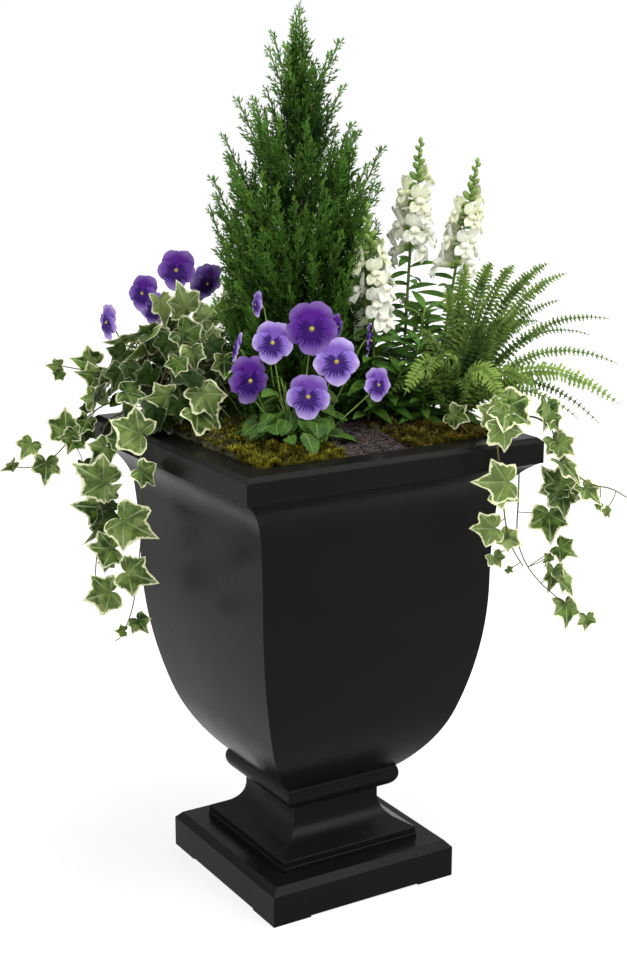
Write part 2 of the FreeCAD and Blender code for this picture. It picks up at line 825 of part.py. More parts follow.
def lathe(half_outline, base, axis):
    """A solid turned about an axis from (radius, distance along the axis) pairs."""
    spots = [Vector(0, 0, half_outline[0][1])]
    spots += [Vector(r, 0, z) for r, z in half_outline]
    spots.append(Vector(0, 0, half_outline[-1][1]))
    face = Part.Face(Part.makePolygon(spots + spots[:1]))
    solid = face.revolve(Vector(), UP, 360)
    solid.Placement = Placement(base, Rotation(UP, axis))
    return solid


def bent(start, middle, end, share):
    """A point on the smooth curve that leaves start towards middle and arrives at end."""
    rest = 1 - share
    return start * (rest * rest) + middle * (2 * share * rest) + end * (share * share)


def make_conifer():
    """A trunk in a dense core of twigs, and the upswept sprays that stand out of it."""
    foot = Vector(value("conifer_x"), value("conifer_y"), value("soil_top"))
    tip = value("conifer_height + liner_drop")
    spread, trunk = value("conifer_spread / 2"), value("trunk_radius")
    feature("conifer_trunk", [lathe([(trunk, 0.0), (trunk * 0.2, tip * 0.86)], foot, UP)])
    levels = ((0.09, 0.34), (0.2, 0.54), (0.36, 0.58), (0.52, 0.5), (0.68, 0.37), (0.84, 0.2))
    mantle = [(spread * share, tip * level) for level, share in levels]
    feature("conifer_core", [lathe(mantle + [(spread * 0.04, tip)], foot, UP)])
    sprays, rings = [], ((0.13, 0.34, 9), (0.27, 0.42, 9), (0.42, 0.37, 8), (0.58, 0.28, 7))
    for index, (level, share, count) in enumerate(rings):
        for number in range(count):
            out = heading(360 * (number + 0.5 * (index % 2)) / count, 0)
            base = foot + UP * (tip * level) + out * (spread * share)
            length = tip * (0.31 - 0.14 * level)
            width = length * 0.1
            spindle = [(width * 0.4, 0), (width, length * 0.4), (width * 0.12, length)]
            sprays.append(lathe(spindle, base, out + UP * 1.25))
    feature("conifer_sprays", sprays)


SPIKES = (  # foot, first bloom and tip of each flower spike, above the rim top
    ((150, -24, -8), (155, -25, 190), (174, -35, 433)),
    ((190, -52, -8), (211, -70, 215), (242, -89, 403)),
    ((84, -30, -8), (90, -42, 158), (77, -34, 349)),
)
SPIKE_TURNS, SPIKE_LEAVES = 137.5, 15


def make_snapdragons():
    top, spread = value("rim_top"), value("spike_radius")
    length, thickness = value("lance_length"), value("leaf_thickness")
    stems, blooms, leaves = [], [], []
    for foot, first, tip in SPIKES:
        foot, first, tip = (Vector(x, y, z + top) for x, y, z in (foot, first, tip))
        stems.append(tube([foot, first, tip - (tip - first) * 0.1], value("flower_stem_radius")))
        run = (tip - first).Length
        shape = ((0.55, -0.04), (1, 0.06), (1, 0.46), (0.45, 0.66), (0.28, 0.8), (0.08, 1.0))
        blooms.append(lathe([(spread * r, run * z) for r, z in shape], first, tip - first))
        for number in range(SPIKE_LEAVES):
            share = 0.22 + 0.7 * number / SPIKE_LEAVES
            out = heading(SPIKE_TURNS * number, 24)
            base = foot + (first - foot) * share
            size = length * (1.2 - 0.45 * share)
            leaves.append(leaf_plate("lance", size, base, out, UP, thickness))
    feature("snapdragon_stems", stems)
    feature("snapdragon_blooms", blooms)
    feature("snapdragon_leaves", leaves)


FRONDS = (  # compass angle, reach and rise of each frond's tip from the crown
    (52, 80, 222),
    (0, 110, 236),
    (-19, 172, 226),
    (-27, 236, 160),
    (-34, 248, 92),
    (-42, 250, 36),
    (-56, 222, 24),
    (-70, 212, 36),
    (-104, 158, 34),
    (-161, 142, 58),
    (24, 205, 120),
    (74, 190, 96),
    (104, 120, 190),
    (140, 150, 130),
    (-8, 200, 70),
)
FROND_STEPS = 7


def make_fern():
    crown = Vector(value("fern_x"), value("fern_y"), value("rim_top"))
    width, thickness = value("frond_width"), value("frond_thickness")
    fronds = []
    for azimuth, reach, rise in FRONDS:
        out, side = heading(azimuth, 0), heading(azimuth + 90, 0)
        tip = crown + out * reach + UP * rise
        high = crown + out * (0.32 * reach) + UP * (rise + 0.3 * reach)
        sections = []
        for step in range(FROND_STEPS + 1):
            share = step / FROND_STEPS
            here = bent(crown, high, tip, share)
            ahead = bent(crown, high, tip, share + 0.01) - here
            normal = side.cross(ahead).normalize() * (thickness / 2)
            swell = min(1.0, 2.6 * max(0.0, share - 0.1)) * (1 - share) ** 0.62
            reach_out = side * (width / 2 * swell + 1.2)
            ring = [
                here - reach_out - normal,
                here + reach_out - normal,
                here + reach_out + normal,
                here - reach_out + normal,
            ]
            sections.append(Part.Wire(Part.makePolygon(ring + ring[:1])))
        fronds.append(Part.makeLoft(sections, True, True))
    feature("fern_fronds", fronds)


VIOLAS = (  # head from the clump's foot, compass angle and rise of its face, size
    ((-26, 14, 150), -122, 10, 0.98),
    ((33, 2, 166), -118, 8, 1.22),
    ((48, -42, 124), -112, 12, 1.06),
    ((-2, -46, 78), -118, 16, 1.0),
    ((-64, 14, 94), -150, 4, 1.0),
    ((100, -74, 90), -84, 0, 0.78),
    ((106, -42, 150), -30, -10, 0.8),
    ((-68, 50, 142), 160, 10, 0.72),
    ((-26, 62, 200), 176, 0, 0.72),
    ((72, -6, 168), -60, -5, 0.6),
    ((-50, 272, 230), -128, 8, 1.0),
    ((-96, 300, 194), -150, 6, 0.9),
    ((-84, 282, 170), -110, 4, 0.78),
    ((-8, 258, 208), -70, -6, 0.84),
    ((-146, 318, 150), 176, -4, 0.72),
    ((40, 236, 150), 88, 10, 0.9),
    ((-14, 286, 120), 120, 10, 0.84),
)
VIOLA_CLUMPS = ((0, 0), (-55, 262))  # foot of each clump
VIOLA_LEAF_COUNTS = (26, 12)  # leaves of each
PETALS = ((72, 0.36, 0.3), (108, 0.36, 0.3), (10, 0.3, 0.27), (170, 0.3, 0.27), (270, 0.3, 0.3))


def make_violas():
    clump = Vector(value("viola_x"), value("viola_y"), value("rim_top"))
    size, length = value("viola_size"), value("viola_leaf")
    thickness, radius = value("leaf_thickness"), value("stem_radius")
    stems, flowers, leaves = [], [], []
    for spot, azimuth, rise, scale in VIOLAS:
        head, face = clump + Vector(*spot), heading(azimuth, rise)
        side = UP.cross(face).normalize()
        upright = face.cross(side)
        for angle, out, reach in PETALS:
            turn = math.radians(angle)
            middle = side * math.cos(turn) + upright * math.sin(turn)
            middle = head + middle * (out * size * scale / 1.3)
            petal = Part.makeCylinder(reach * size * scale, 1.6 * thickness, middle, face)
            flowers.append(petal)
        near = min(VIOLA_CLUMPS, key=lambda c: (c[0] - spot[0]) ** 2 + (c[1] - spot[1]) ** 2)
        foot = clump + Vector(near[0] + 0.25 * (spot[0] - near[0]), near[1], 0)
        foot.y += 0.25 * (spot[1] - near[1])
        neck = head - face * (0.3 * size) - UP * (0.2 * size)
        stems.append(tube([foot, (foot + neck) * 0.5 + face * 6, neck, head], radius))
    for (x, y), count in zip(VIOLA_CLUMPS, VIOLA_LEAF_COUNTS):
        for number in range(count):
            share = (number + 0.5) / count
            out = heading(137.5 * number, 62 - 56 * share)
            base = clump + Vector(x, y, 4) + heading(137.5 * number, 0) * (12 + 30 * share)
            base += UP * (34 * (1 - share))
            leaves.append(leaf_plate("viola", length, base, out, UP, thickness))
    feature("viola_stems", stems)
    feature("viola_flowers", flowers)
    feature("viola_leaves", leaves)


# Each vine: the corner of the rim that it hangs by, its points from that corner at the rim top,
# the compass angle that its leaves face, and its leaves as (share of the vine, side, size).
VINES = (
    ((-1, 1), ((88, -84, 4), (48, -58, 26), (12, -36, 22), (-12, -10, -2), (-34, 12, -40),
               (-60, 38, -76), (-88, 58, -88), (-114, 75, -86)), -120,
     ((0.2, 1, 1.1), (0.38, -1, 1.0), (0.5, 1, 0.9), (0.6, -1, 0.85), (0.72, 1, 0.72),
      (0.82, -1, 0.9), (0.92, 1, 0.62), (1.0, -1, 0.34))),
    ((-1, 1), ((96, -40, 4), (58, -26, 42), (24, 2, 62), (-4, 31, 68), (-36, 62, 74)), -130,
     ((0.3, -1, 1.0), (0.55, 1, 0.95), (0.75, -1, 0.8), (0.9, 1, 0.5), (1.0, -1, 0.36))),
    ((-1, 1), ((92, -112, 4), (40, -96, 18), (-8, -88, 8), (-26, -86, -36), (-24, -84, -110),
               (-30, -76, -190), (-34, -70, -254), (-28, -68, -286)), -125,
     ((0.34, 1, 1.1), (0.46, -1, 1.05), (0.56, 1, 0.9), (0.64, -1, 1.0), (0.74, -1, 0.9),
      (0.82, 1, 0.85), (0.9, -1, 0.46), (1.0, 1, 0.8))),
    ((-1, -1), ((84, 300, 4), (36, 298, 16), (-8, 294, 4), (-20, 290, -40), (-18, 292, -118),
                (-22, 300, -190), (-28, 312, -260), (-40, 324, -306), (-50, 330, -318)), -125,
     ((0.16, 1, 1.1), (0.34, 1, 1.05), (0.5, -1, 1.12), (0.62, 1, 1.0), (0.7, -1, 1.0),
      (0.82, 1, 0.8), (0.94, -1, 0.6), (1.0, 1, 0.36))),
    ((1, -1), ((-92, 62, 4), (-96, 28, 20), (-98, -6, 14), (-96, -16, -24), (-90, -18, -70),
               (-82, -18, -118), (-70, -20, -156), (-52, -24, -186)), -112,
     ((0.12, 1, 0.8), (0.34, -1, 1.15), (0.5, 1, 0.9), (0.6, -1, 1.1), (0.78, 1, 0.8),
      (0.88, 1, 0.56), (1.0, 1, 0.3))),
    ((1, -1), ((-52, 92, 4), (-14, 88, 22), (12, 84, 2), (18, 82, -50), (18, 80, -110),
               (16, 78, -172), (26, 70, -214), (46, 56, -248), (72, 38, -276)), -80,
     ((0.3, 1, 0.9), (0.46, -1, 0.95), (0.56, 1, 0.8), (0.64, 1, 0.5), (0.72, 1, 0.7),
      (0.8, 1, 0.72), (0.9, 1, 0.7), (1.0, 1, 0.44))),
    ((1, -1), ((-48, 54, 4), (-10, 28, 28), (16, 8, 12), (28, -4, -24), (44, -14, -52),
               (68, -28, -74), (96, -44, -82), (118, -56, -96)), -90,
     ((0.22, 1, 1.0), (0.36, 1, 0.9), (0.48, -1, 1.0), (0.58, 1, 0.9), (0.66, -1, 1.0),
      (0.8, 1, 0.6), (0.92, 1, 0.5), (1.0, 1, 0.3))),
    ((-1, 1), ((150, -60, 4), (140, -26, 24), (132, 6, 12), (130, 18, -30), (126, 20, -96),
               (130, 22, -150)), 100,
     ((0.25, 1, 1.0), (0.42, -1, 1.0), (0.58, 1, 0.9), (0.74, -1, 0.8), (0.88, 1, 0.6),
      (1.0, -1, 0.4))),
    ((1, 1), ((-60, -78, 4), (-22, -66, 22), (10, -58, 8), (20, -56, -40), (20, -52, -104),
              (26, -50, -170)), 20,
     ((0.25, 1, 1.0), (0.42, -1, 0.95), (0.58, 1, 0.9), (0.74, -1, 0.8), (0.88, 1, 0.6),
      (1.0, -1, 0.4))),
)
RIM_GAP = 3  # least gap between a hanging leaf and the rim that it must lift past
MOUND_LEAVES = 34  # ivy leaves that heap over the left corner
MOUND_REACH = (118, 150, 150)  # half extents of that heap


def vine_point(spots, share):
    """The point at a share of the route's whole length."""
    lengths = [(b - a).Length for a, b in zip(spots, spots[1:])]
    left = share * sum(lengths)
    for (a, b), length in zip(zip(spots, spots[1:]), lengths):
        if left <= length:
            return a + (b - a) * (left / length)
        left -= length
    return spots[-1]


def clear_of_rim(leaf, half, top):
    """Moves a leaf above the rim or outside it, whichever is nearer, so the planting lifts out."""
    reach, bounds = half + RIM_GAP, leaf.BoundBox
    moves = [
        (top + RIM_GAP - bounds.ZMin, UP),
        (reach - bounds.XMin, Vector(1, 0, 0)),
        (reach - bounds.YMin, Vector(0, 1, 0)),
        (reach + bounds.XMax, Vector(-1, 0, 0)),
        (reach + bounds.YMax, Vector(0, -1, 0)),
    ]
    distance, way = min(moves, key=lambda move: move[0])
    return leaf.translated(way * max(distance, 0))


def make_ivy():
    half, top = value("rim_half"), value("rim_top")
    size, thickness, radius = value("ivy_leaf"), value("leaf_thickness"), value("stem_radius")
    vines, leaves = [], []
    for corner, points, azimuth, leaf_list in VINES:
        origin = Vector(corner[0] * half, corner[1] * half, top)
        spots = [origin + Vector(*p) for p in points]
        vines.append(tube(spots, radius))
        facing = heading(azimuth, 22)
        for share, side, scale in leaf_list:
            node = vine_point(spots, share)
            sideways = heading(azimuth + 90 * side, 0)
            base = node + sideways * (9 * scale) + facing * 4
            along = sideways * 0.75 - UP * 0.66 + heading(azimuth, 0) * 0.2
            leaf = leaf_plate("ivy", size * scale, base, along, facing, thickness)
            leaves.append(clear_of_rim(leaf, half, top))
    heap = Vector(-0.66 * half, 0.52 * half, top + 12)
    for number in range(MOUND_LEAVES):
        share = (number + 0.5) / MOUND_LEAVES
        out = heading(137.5 * number, 78 - 74 * share)
        base = heap + Vector(*(a * b for a, b in zip(out, MOUND_REACH)))
        flat = heading(137.5 * number, 0)
        along = flat * 0.7 - UP * 0.4
        leaf = leaf_plate("ivy", size, base, along, out + UP * 0.4, thickness)
        leaves.append(clear_of_rim(leaf, half, top))
    feature("ivy_vines", vines)
    feature("ivy_leaves", leaves)


# ---------------------------------------------------------------- build and write

for step in (
    make_bowl,
    make_pedestal,
    make_base_cover,
    make_cover_screws,
    make_joint,
    make_drain_plug,
    make_liner,
    make_filling,
    make_top_dressing,
    make_conifer,
    make_snapdragons,
    make_fern,
    make_violas,
    make_ivy,
):
    step()
doc.recompute()

for thing in doc.Objects:
    if "Invalid" in thing.State or "Error" in thing.State:
        raise RuntimeError(f"{thing.Label} failed: {thing.State}")
for thing in pieces:
    if thing.Shape.isNull() or not thing.Shape.isValid():
        raise RuntimeError(f"{thing.Label} has no valid shape")

os.makedirs("parts", exist_ok=True)
for thing in pieces:
    thing.Shape.exportStep(f"parts/{thing.Label}.step")
    solids = len(thing.Shape.Solids)
    print(f"{thing.Label}: {solids} solids, {thing.Shape.Volume / 1000:.1f} cm3")
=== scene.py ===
import logging
import math
from dataclasses import dataclass, field
from enum import Enum
from typing import Callable, Sequence

import bmesh
import bpy
import numpy as np
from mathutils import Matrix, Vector


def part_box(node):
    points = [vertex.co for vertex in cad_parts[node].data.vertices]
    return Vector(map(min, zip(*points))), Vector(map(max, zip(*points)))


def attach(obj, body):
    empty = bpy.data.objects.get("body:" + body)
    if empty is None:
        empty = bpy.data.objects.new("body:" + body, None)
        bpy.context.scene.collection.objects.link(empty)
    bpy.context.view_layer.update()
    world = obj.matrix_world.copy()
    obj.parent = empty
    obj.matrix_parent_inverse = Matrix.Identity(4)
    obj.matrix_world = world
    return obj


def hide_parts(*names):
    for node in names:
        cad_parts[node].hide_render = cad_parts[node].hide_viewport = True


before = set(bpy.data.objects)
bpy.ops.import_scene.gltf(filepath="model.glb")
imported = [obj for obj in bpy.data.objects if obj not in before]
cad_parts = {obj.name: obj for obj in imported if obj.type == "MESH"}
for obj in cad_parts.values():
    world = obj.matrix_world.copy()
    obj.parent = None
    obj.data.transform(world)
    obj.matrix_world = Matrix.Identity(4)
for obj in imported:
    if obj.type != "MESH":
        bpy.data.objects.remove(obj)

Array = np.ndarray
Colour = tuple[float, float, float]
Point = tuple[float, float, float]
Warp = Callable[[Array, Array], Array]

LOG = logging.getLogger("urn_planter")
GOLDEN = 137.508  # degrees between one leaf and the next round a stem
UP = np.array([0.0, 0.0, 1.0])
RIM_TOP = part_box("bowl_shell")[1][2]
RIM_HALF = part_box("bowl_shell")[1][0]
TO_CAMERA = np.array([-0.503, -0.829, 0.241])  # unit vector towards the photograph's camera
CAMERA = np.array([-1.3029, -2.1551, 1.2695])
CAMERA_TURN, CAMERA_RISE = -121.25, 13.96  # degrees, of the line from the aim to the camera
LENS, SENSOR = 62.57, 36.0
PICTURE = (627, 960)
WELD = 5e-6  # metres within which points of a seam or a pole become one
PARALLEL = 1e-4  # length of a cross product under which two directions count as one line
POLE = 1e-3  # radius left at a ball's poles, as a share of its own, for WELD to close


def srgb(red: int, green: int, blue: int) -> Colour:
    """A colour as it looks on screen, 0 to 255, as the linear values that shaders take.

    Args:
        red: 0 to 255.
        green: 0 to 255.
        blue: 0 to 255.

    Returns:
        The linear colour.
    """
    return tuple(
        c / 12.92 if c <= 0.04045 else ((c + 0.055) / 1.055) ** 2.4
        for c in (red / 255, green / 255, blue / 255)
    )


def unit(vector: Sequence[float]) -> Array:
    """The vector at length 1."""
    vector = np.asarray(vector, dtype=float)
    return vector / np.linalg.norm(vector)


def heading(azimuth: float, rise: float = 0.0) -> Array:
    """A direction from its compass angle, measured from +X towards +Y, and its rise, in degrees.

    Args:
        azimuth: turn from +X towards +Y, in degrees.
        rise: degrees above level.

    Returns:
        A vector of length 1.
    """
    turn, lift = math.radians(azimuth), math.radians(rise)
    flat = math.cos(lift)
    return np.array([flat * math.cos(turn), flat * math.sin(turn), math.sin(lift)])


def pose(
    point: Sequence[float], forward: Sequence[float], up: Sequence[float], size: float = 1.0
) -> Array:
    """A 4 x 4 placement.

    Args:
        point: where the shape's origin goes.
        forward: where its X axis points.
        up: where its Z axis points, as nearly as forward allows.
        size: scale.

    Returns:
        The matrix.
    """
    x = unit(forward)
    y = np.cross(up, x)
    if np.linalg.norm(y) < PARALLEL:
        y = np.cross(TO_CAMERA, x)
    y = unit(y)
    matrix = np.eye(4)
    matrix[:3, 0], matrix[:3, 1], matrix[:3, 2] = x * size, y * size, np.cross(x, y) * size
    matrix[:3, 3] = point
    return matrix


def curve(points: Sequence[Sequence[float]], steps: int) -> Array:
    """A smooth path through the points, as steps + 1 points evenly spread by index.

    Args:
        points: what it passes through.
        steps: spans between its ends.

    Returns:
        The points.
    """
    knots = np.asarray(points, dtype=float)
    knots = np.vstack([2 * knots[0] - knots[1], knots, 2 * knots[-1] - knots[-2]])
    along = np.linspace(0, len(knots) - 3, steps + 1)
    index = np.minimum(along.astype(int), len(knots) - 4)
    t = (along - index)[:, None]
    a, b, c, d = (knots[index + k] for k in range(4))
    bend, twist = 2 * a - 5 * b + 4 * c - d, 3 * b - a - 3 * c + d
    return 0.5 * (2 * b + (c - a) * t + bend * t**2 + twist * t**3)


def sight(u: float, v: float) -> Array:
    """The direction from the camera through a pixel of the photograph.

    Args:
        u: pixels from the left.
        v: pixels from the top.

    Returns:
        A vector of length 1.
    """
    back = heading(CAMERA_TURN, CAMERA_RISE)
    right = heading(CAMERA_TURN + 90)
    up = np.cross(back, right)
    focal = LENS / SENSOR * PICTURE[1]
    return unit(right * (u - PICTURE[0] / 2) + up * (PICTURE[1] / 2 - v) - back * focal)


def seen_at(u: float, v: float, beside: Array, nearer: float = 0.0) -> Array:
    """The point that a pixel shows in the upright plane through another point that faces the
    camera, or in one that is nearer by some metres."""
    flat, ahead = heading(CAMERA_TURN), sight(u, v)
    return CAMERA + ahead * ((beside - CAMERA) @ flat + nearer) / (ahead @ flat)


def meet(u: float, v: float, centre: Array, half: Array) -> float:
    """How far a pixel's line of sight runs until it meets an ellipsoid, or passes it nearest.

    Args:
        u: pixels from the left.
        v: pixels from the top.
        centre: middle of the ellipsoid.
        half: its half sizes.

    Returns:
        The distance from the camera in metres.
    """
    start, ahead = (CAMERA - centre) / half, sight(u, v) / half
    along, square = start @ ahead, ahead @ ahead
    inside = along**2 - square * (start @ start - 1)
    return (-along - math.sqrt(max(inside, 0.0))) / square


class Slot(Enum):
    """Names of the record's material slots for the plants and the top dressing."""

    CONIFER = "conifer_green"
    FERN = "fern_green"
    STEM = "stem_green"
    LEAF = "leaf_green"
    WHITE = "white_petal"
    VIOLET = "violet_petal"
    VINE = "vine_brown"
    IVY = "ivy_green"
    MOSS = "moss"
    BARK = "bark"


# ---------------------------------------------------------------- shapes


@dataclass(frozen=True)
class Shape:
    """A small mesh whose points carry paint: u, v and a tint."""

    points: Array
    quads: Array
    paint: Array

    @classmethod
    def grid(cls, columns: int, rows: int, warp: Warp) -> "Shape":
        """A net of columns by rows faces, bent by warp.

        Args:
            columns: faces along u.
            rows: faces along v.
            warp: gives the points for arrays of u and v from 0 to 1.

        Returns:
            The shape, painted with u and v.
        """
        net = bmesh.new()
        bmesh.ops.create_grid(net, x_segments=columns, y_segments=rows, size=0.5)
        net.verts.index_update()
        flat = np.array([vert.co[:2] for vert in net.verts]) + 0.5
        quads = np.array([[vert.index for vert in face.verts] for face in net.faces])
        net.free()
        paint = np.column_stack([flat, np.zeros(len(flat))])
        return cls(warp(flat[:, 0], flat[:, 1]), quads, paint)

    @classmethod
    def tube(cls, path: Array, radii: Array | float, sides: int = 6) -> "Shape":
        """A round stem along a path, with a radius at each of its points, closed at both ends.

        Args:
            path: its points.
            radii: one radius, or one for each point.
            sides: flats round it.

        Returns:
            The shape.
        """
        path = np.asarray(path, dtype=float)
        radii = np.broadcast_to(np.asarray(radii, dtype=float), len(path))
        ahead = np.gradient(path, axis=0)
        ahead /= np.linalg.norm(ahead, axis=1)[:, None]
        across = np.eye(3)[np.argmin(np.abs(ahead).mean(axis=0))]
        side = np.cross(ahead, across)
        side /= np.linalg.norm(side, axis=1)[:, None]
        other = np.cross(side, ahead)

        def warp(u: Array, v: Array) -> Array:
            """Rings along the path, closed to a point at each end."""
            step = np.rint(u * (len(path) + 1)).astype(int) - 1
            index = np.clip(step, 0, len(path) - 1)
            turn = 2 * np.pi * v
            ring = np.cos(turn)[:, None] * side[index] + np.sin(turn)[:, None] * other[index]
            return path[index] + np.where(step == index, radii[index], 0.0)[:, None] * ring

        return cls.grid(len(path) + 1, sides, warp)

    @classmethod
    def ball(cls, radius: Sequence[float], rings: int = 6, sides: int = 8) -> "Shape":
        """An ellipsoid with the given half sizes.

        Args:
            radius: half sizes along X, Y and Z.
            rings: spans from end to end.
            sides: flats round it.

        Returns:
            The shape.
        """
        share = np.linspace(0, np.pi, rings + 1)
        path = np.column_stack([-np.cos(share), 0 * share, 0 * share])
        round_one = cls.tube(path, np.maximum(np.sin(share), POLE), sides)
        return cls(round_one.points * np.asarray(radius), round_one.quads, round_one.paint)

    def tinted(self, tint: float) -> "Shape":
        """The same shape with its tint raised."""
        return Shape(self.points, self.quads, self.paint + np.array([0, 0, tint]))

    def placed(self, matrix: Array) -> "Shape":
        """The same shape at another place, its faces still outward if it is mirrored."""
        quads = self.quads if np.linalg.det(matrix[:3, :3]) > 0 else self.quads[:, ::-1]
        return Shape(self.points @ matrix[:3, :3].T + matrix[:3, 3], quads, self.paint)


def scale_leaf() -> Shape:
    """One folded diamond of length 1 along X, for a conifer's scale leaves and for moss."""
    return Shape.grid(
        1, 1, lambda u, v: np.column_stack([(u + v) * 0.5, (u - v) * 0.12, 0.1 * (u - v) ** 2])
    )


def leaf_blade(columns: int, rows: int, half: Callable[[Array], Array], fold: float, droop: float,
               scallop: float = 0.0) -> Shape:
    """A leaf of length 1 along X.

    Args:
        columns: faces along it.
        rows: faces across it.
        half: its half width at each place along it.
        fold: how far its sides rise, as a share of the half width.
        droop: how far its tip falls.
        scallop: depth of the teeth on its edge, as a share of the half width.

    Returns:
        The shape.
    """

    def warp(u: Array, v: Array) -> Array:
        """The blade, folded along its midrib and drooping to its tip."""
        across = (v - 0.5) * 2
        edge = 1 + scallop * np.sin(2 * np.pi * 6 * u) * np.abs(across) ** 3
        return np.column_stack([u, across * half(u) * edge, fold * np.abs(across) * half(u) - droop * u * u])

    return Shape.grid(columns, rows, warp)


@dataclass
class Cluster:
    """Shapes gathered into one mesh."""

    shapes: list[Shape] = field(default_factory=list)

    def add(self, shape: Shape, matrix: Array | None = None, tint: float = 0.0) -> None:
        """Adds a copy of a shape, placed and with its tint raised.

        Args:
            shape: what is added.
            matrix: its placement, or None to leave it as it is.
            tint: what its tint is raised by.
        """
        if matrix is not None:
            shape = shape.placed(matrix)
        self.shapes.append(shape.tinted(tint) if tint else shape)

    def joined(self) -> Shape:
        """All the shapes as one.

        Returns:
            The shape.
        """
        starts = np.cumsum([0] + [len(shape.points) for shape in self.shapes])
        return Shape(
            np.vstack([shape.points for shape in self.shapes]),
            np.vstack([shape.quads + start for shape, start in zip(self.shapes, starts)]),
            np.vstack([shape.paint for shape in self.shapes]),
        )

    def build(self, name: str, finish: str, slot: Slot, *nodes: str, smooth: bool = True) -> None:
        """Makes the mesh object, painted, and riding on the planting.

        Args:
            name: the piece's name.
            finish: the key of its finish.
            slot: not used.
            nodes: the CAD nodes that it stands for.
            smooth: whether its faces are shaded smooth.
        """
        whole = self.joined()
        mesh = bpy.data.meshes.new(name)
        mesh.from_pydata(whole.points.tolist(), [], whole.quads.tolist())
        corners = whole.quads.ravel()
        layer = mesh.uv_layers.new(name="paint")
        layer.data.foreach_set("uv", whole.paint[corners, :2].ravel())
        tint = mesh.attributes.new("tint", "FLOAT", "POINT")
        tint.data.foreach_set("value", whole.paint[:, 2])
        mesh.polygons.foreach_set("use_smooth", [smooth] * len(mesh.polygons))
        mesh.materials.append(MATERIALS[finish])
        net = bmesh.new()
        net.from_mesh(mesh)
        bmesh.ops.remove_doubles(net, verts=net.verts, dist=WELD)
        net.to_mesh(mesh)
        net.free()
        piece = bpy.data.objects.new(name, mesh)
        bpy.context.scene.collection.objects.link(piece)
        if nodes:
            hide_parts(*nodes)
        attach(piece, "planting")
        LOG.info("%s: %d faces", name, len(mesh.polygons))


# ---------------------------------------------------------------- shading


class Tree:
    """Short calls that build a node tree, for a material or a reusable group."""

    def __init__(self, tree: bpy.types.NodeTree) -> None:
        """Starts on a node tree."""
        self.tree = tree

    def node(self, kind: str, inputs: dict | None = None, **settings: object) -> bpy.types.Node:
        """A node with its settings, and its inputs set or linked by name or number.

        Args:
            kind: the node's type.
            inputs: what its inputs get, by name or number.
            settings: its own properties.

        Returns:
            The node.
        """
        made = self.tree.nodes.new(kind)
        for name, setting in settings.items():
            setattr(made, name, setting)
        self.fill(made, inputs or {})
        return made

    def fill(self, node: bpy.types.Node, inputs: dict) -> None:
        """Sets or links several inputs of a node, by name or number."""
        for key, given in inputs.items():
            self.feed(node.inputs[key], given)

    def feed(self, socket: bpy.types.NodeSocket, given: object) -> None:
        """Links a socket, or sets its value.

        Args:
            socket: an input.
            given: another node's output, or a value.
        """
        if isinstance(given, bpy.types.NodeSocket):
            self.tree.links.new(given, socket)
        elif socket.type == "RGBA" and len(given) == 3:
            socket.default_value = (*given, 1.0)
        else:
            socket.default_value = given

    def math(self, operation: str, *values: object, clamp: bool = False) -> bpy.types.NodeSocket:
        """A math node's result."""
        inputs = dict(enumerate(values))
        return self.node("ShaderNodeMath", inputs, operation=operation, use_clamp=clamp).outputs[0]

    def times(self, first: object, second: object, clamp: bool = False) -> bpy.types.NodeSocket:
        """The product of two values."""
        return self.math("MULTIPLY", first, second, clamp=clamp)

    def plus(self, first: object, second: object, clamp: bool = False) -> bpy.types.NodeSocket:
        """The sum of two values."""
        return self.math("ADD", first, second, clamp=clamp)

    def minus(self, first: object, second: object, clamp: bool = False) -> bpy.types.NodeSocket:
        """The first value less the second."""
        return self.math("SUBTRACT", first, second, clamp=clamp)

    def span(
        self, value: object, low: float, high: float, start: float = 0.0, end: float = 1.0
    ) -> bpy.types.NodeSocket:
        """The value rescaled smoothly from low..high to start..end."""
        inputs = {0: value, 1: low, 2: high, 3: start, 4: end}
        return self.node("ShaderNodeMapRange", inputs, interpolation_type="SMOOTHSTEP").outputs[0]

    def mix(self, share: object, first: object, second: object) -> bpy.types.NodeSocket:
        """Two colours mixed by a share.

        Args:
            share: 0 for the first colour, 1 for the second.
            first: a colour.
            second: a colour.

        Returns:
            The mixed colour.
        """
        made = self.node("ShaderNodeMix", data_type="RGBA")
        self.fill(made, {0: share, 6: first, 7: second})  # the colour sockets of this node
        return made.outputs[2]

    def place(self) -> bpy.types.NodeSocket:
        """The object's own coordinates."""
        return self.node("ShaderNodeTexCoord").outputs["Object"]

    def noise(self, scale: float, detail: float, rough: float, vector: object = None) -> bpy.types.NodeSocket:
        """Noise from 0 to 1.

        Args:
            scale: turns per metre.
            detail: levels of finer noise.
            rough: strength of the finer levels.
            vector: where it is read, or None for the object's own coordinates.

        Returns:
            The noise.
        """
        place = self.place() if vector is None else vector
        inputs = {"Vector": place, "Scale": scale, "Detail": detail, "Roughness": rough}
        return self.node("ShaderNodeTexNoise", inputs).outputs[0]

    def paint(self) -> tuple[bpy.types.NodeSocket, bpy.types.NodeSocket, bpy.types.NodeSocket]:
        """The mesh's own u, v and tint.

        Returns:
            The three, as sockets.
        """
        painted = self.node("ShaderNodeUVMap", uv_map="paint").outputs[0]
        parts = self.node("ShaderNodeSeparateXYZ", {0: painted})
        tint = self.node("ShaderNodeAttribute", attribute_name="tint").outputs["Fac"]
        return parts.outputs[0], parts.outputs[1], tint

    def bump(self, height: object, depth: float, strength: float = 1.0) -> bpy.types.NodeSocket:
        """A surface relief of that depth in metres."""
        inputs = {"Height": height, "Distance": depth, "Strength": strength}
        return self.node("ShaderNodeBump", inputs).outputs[0]


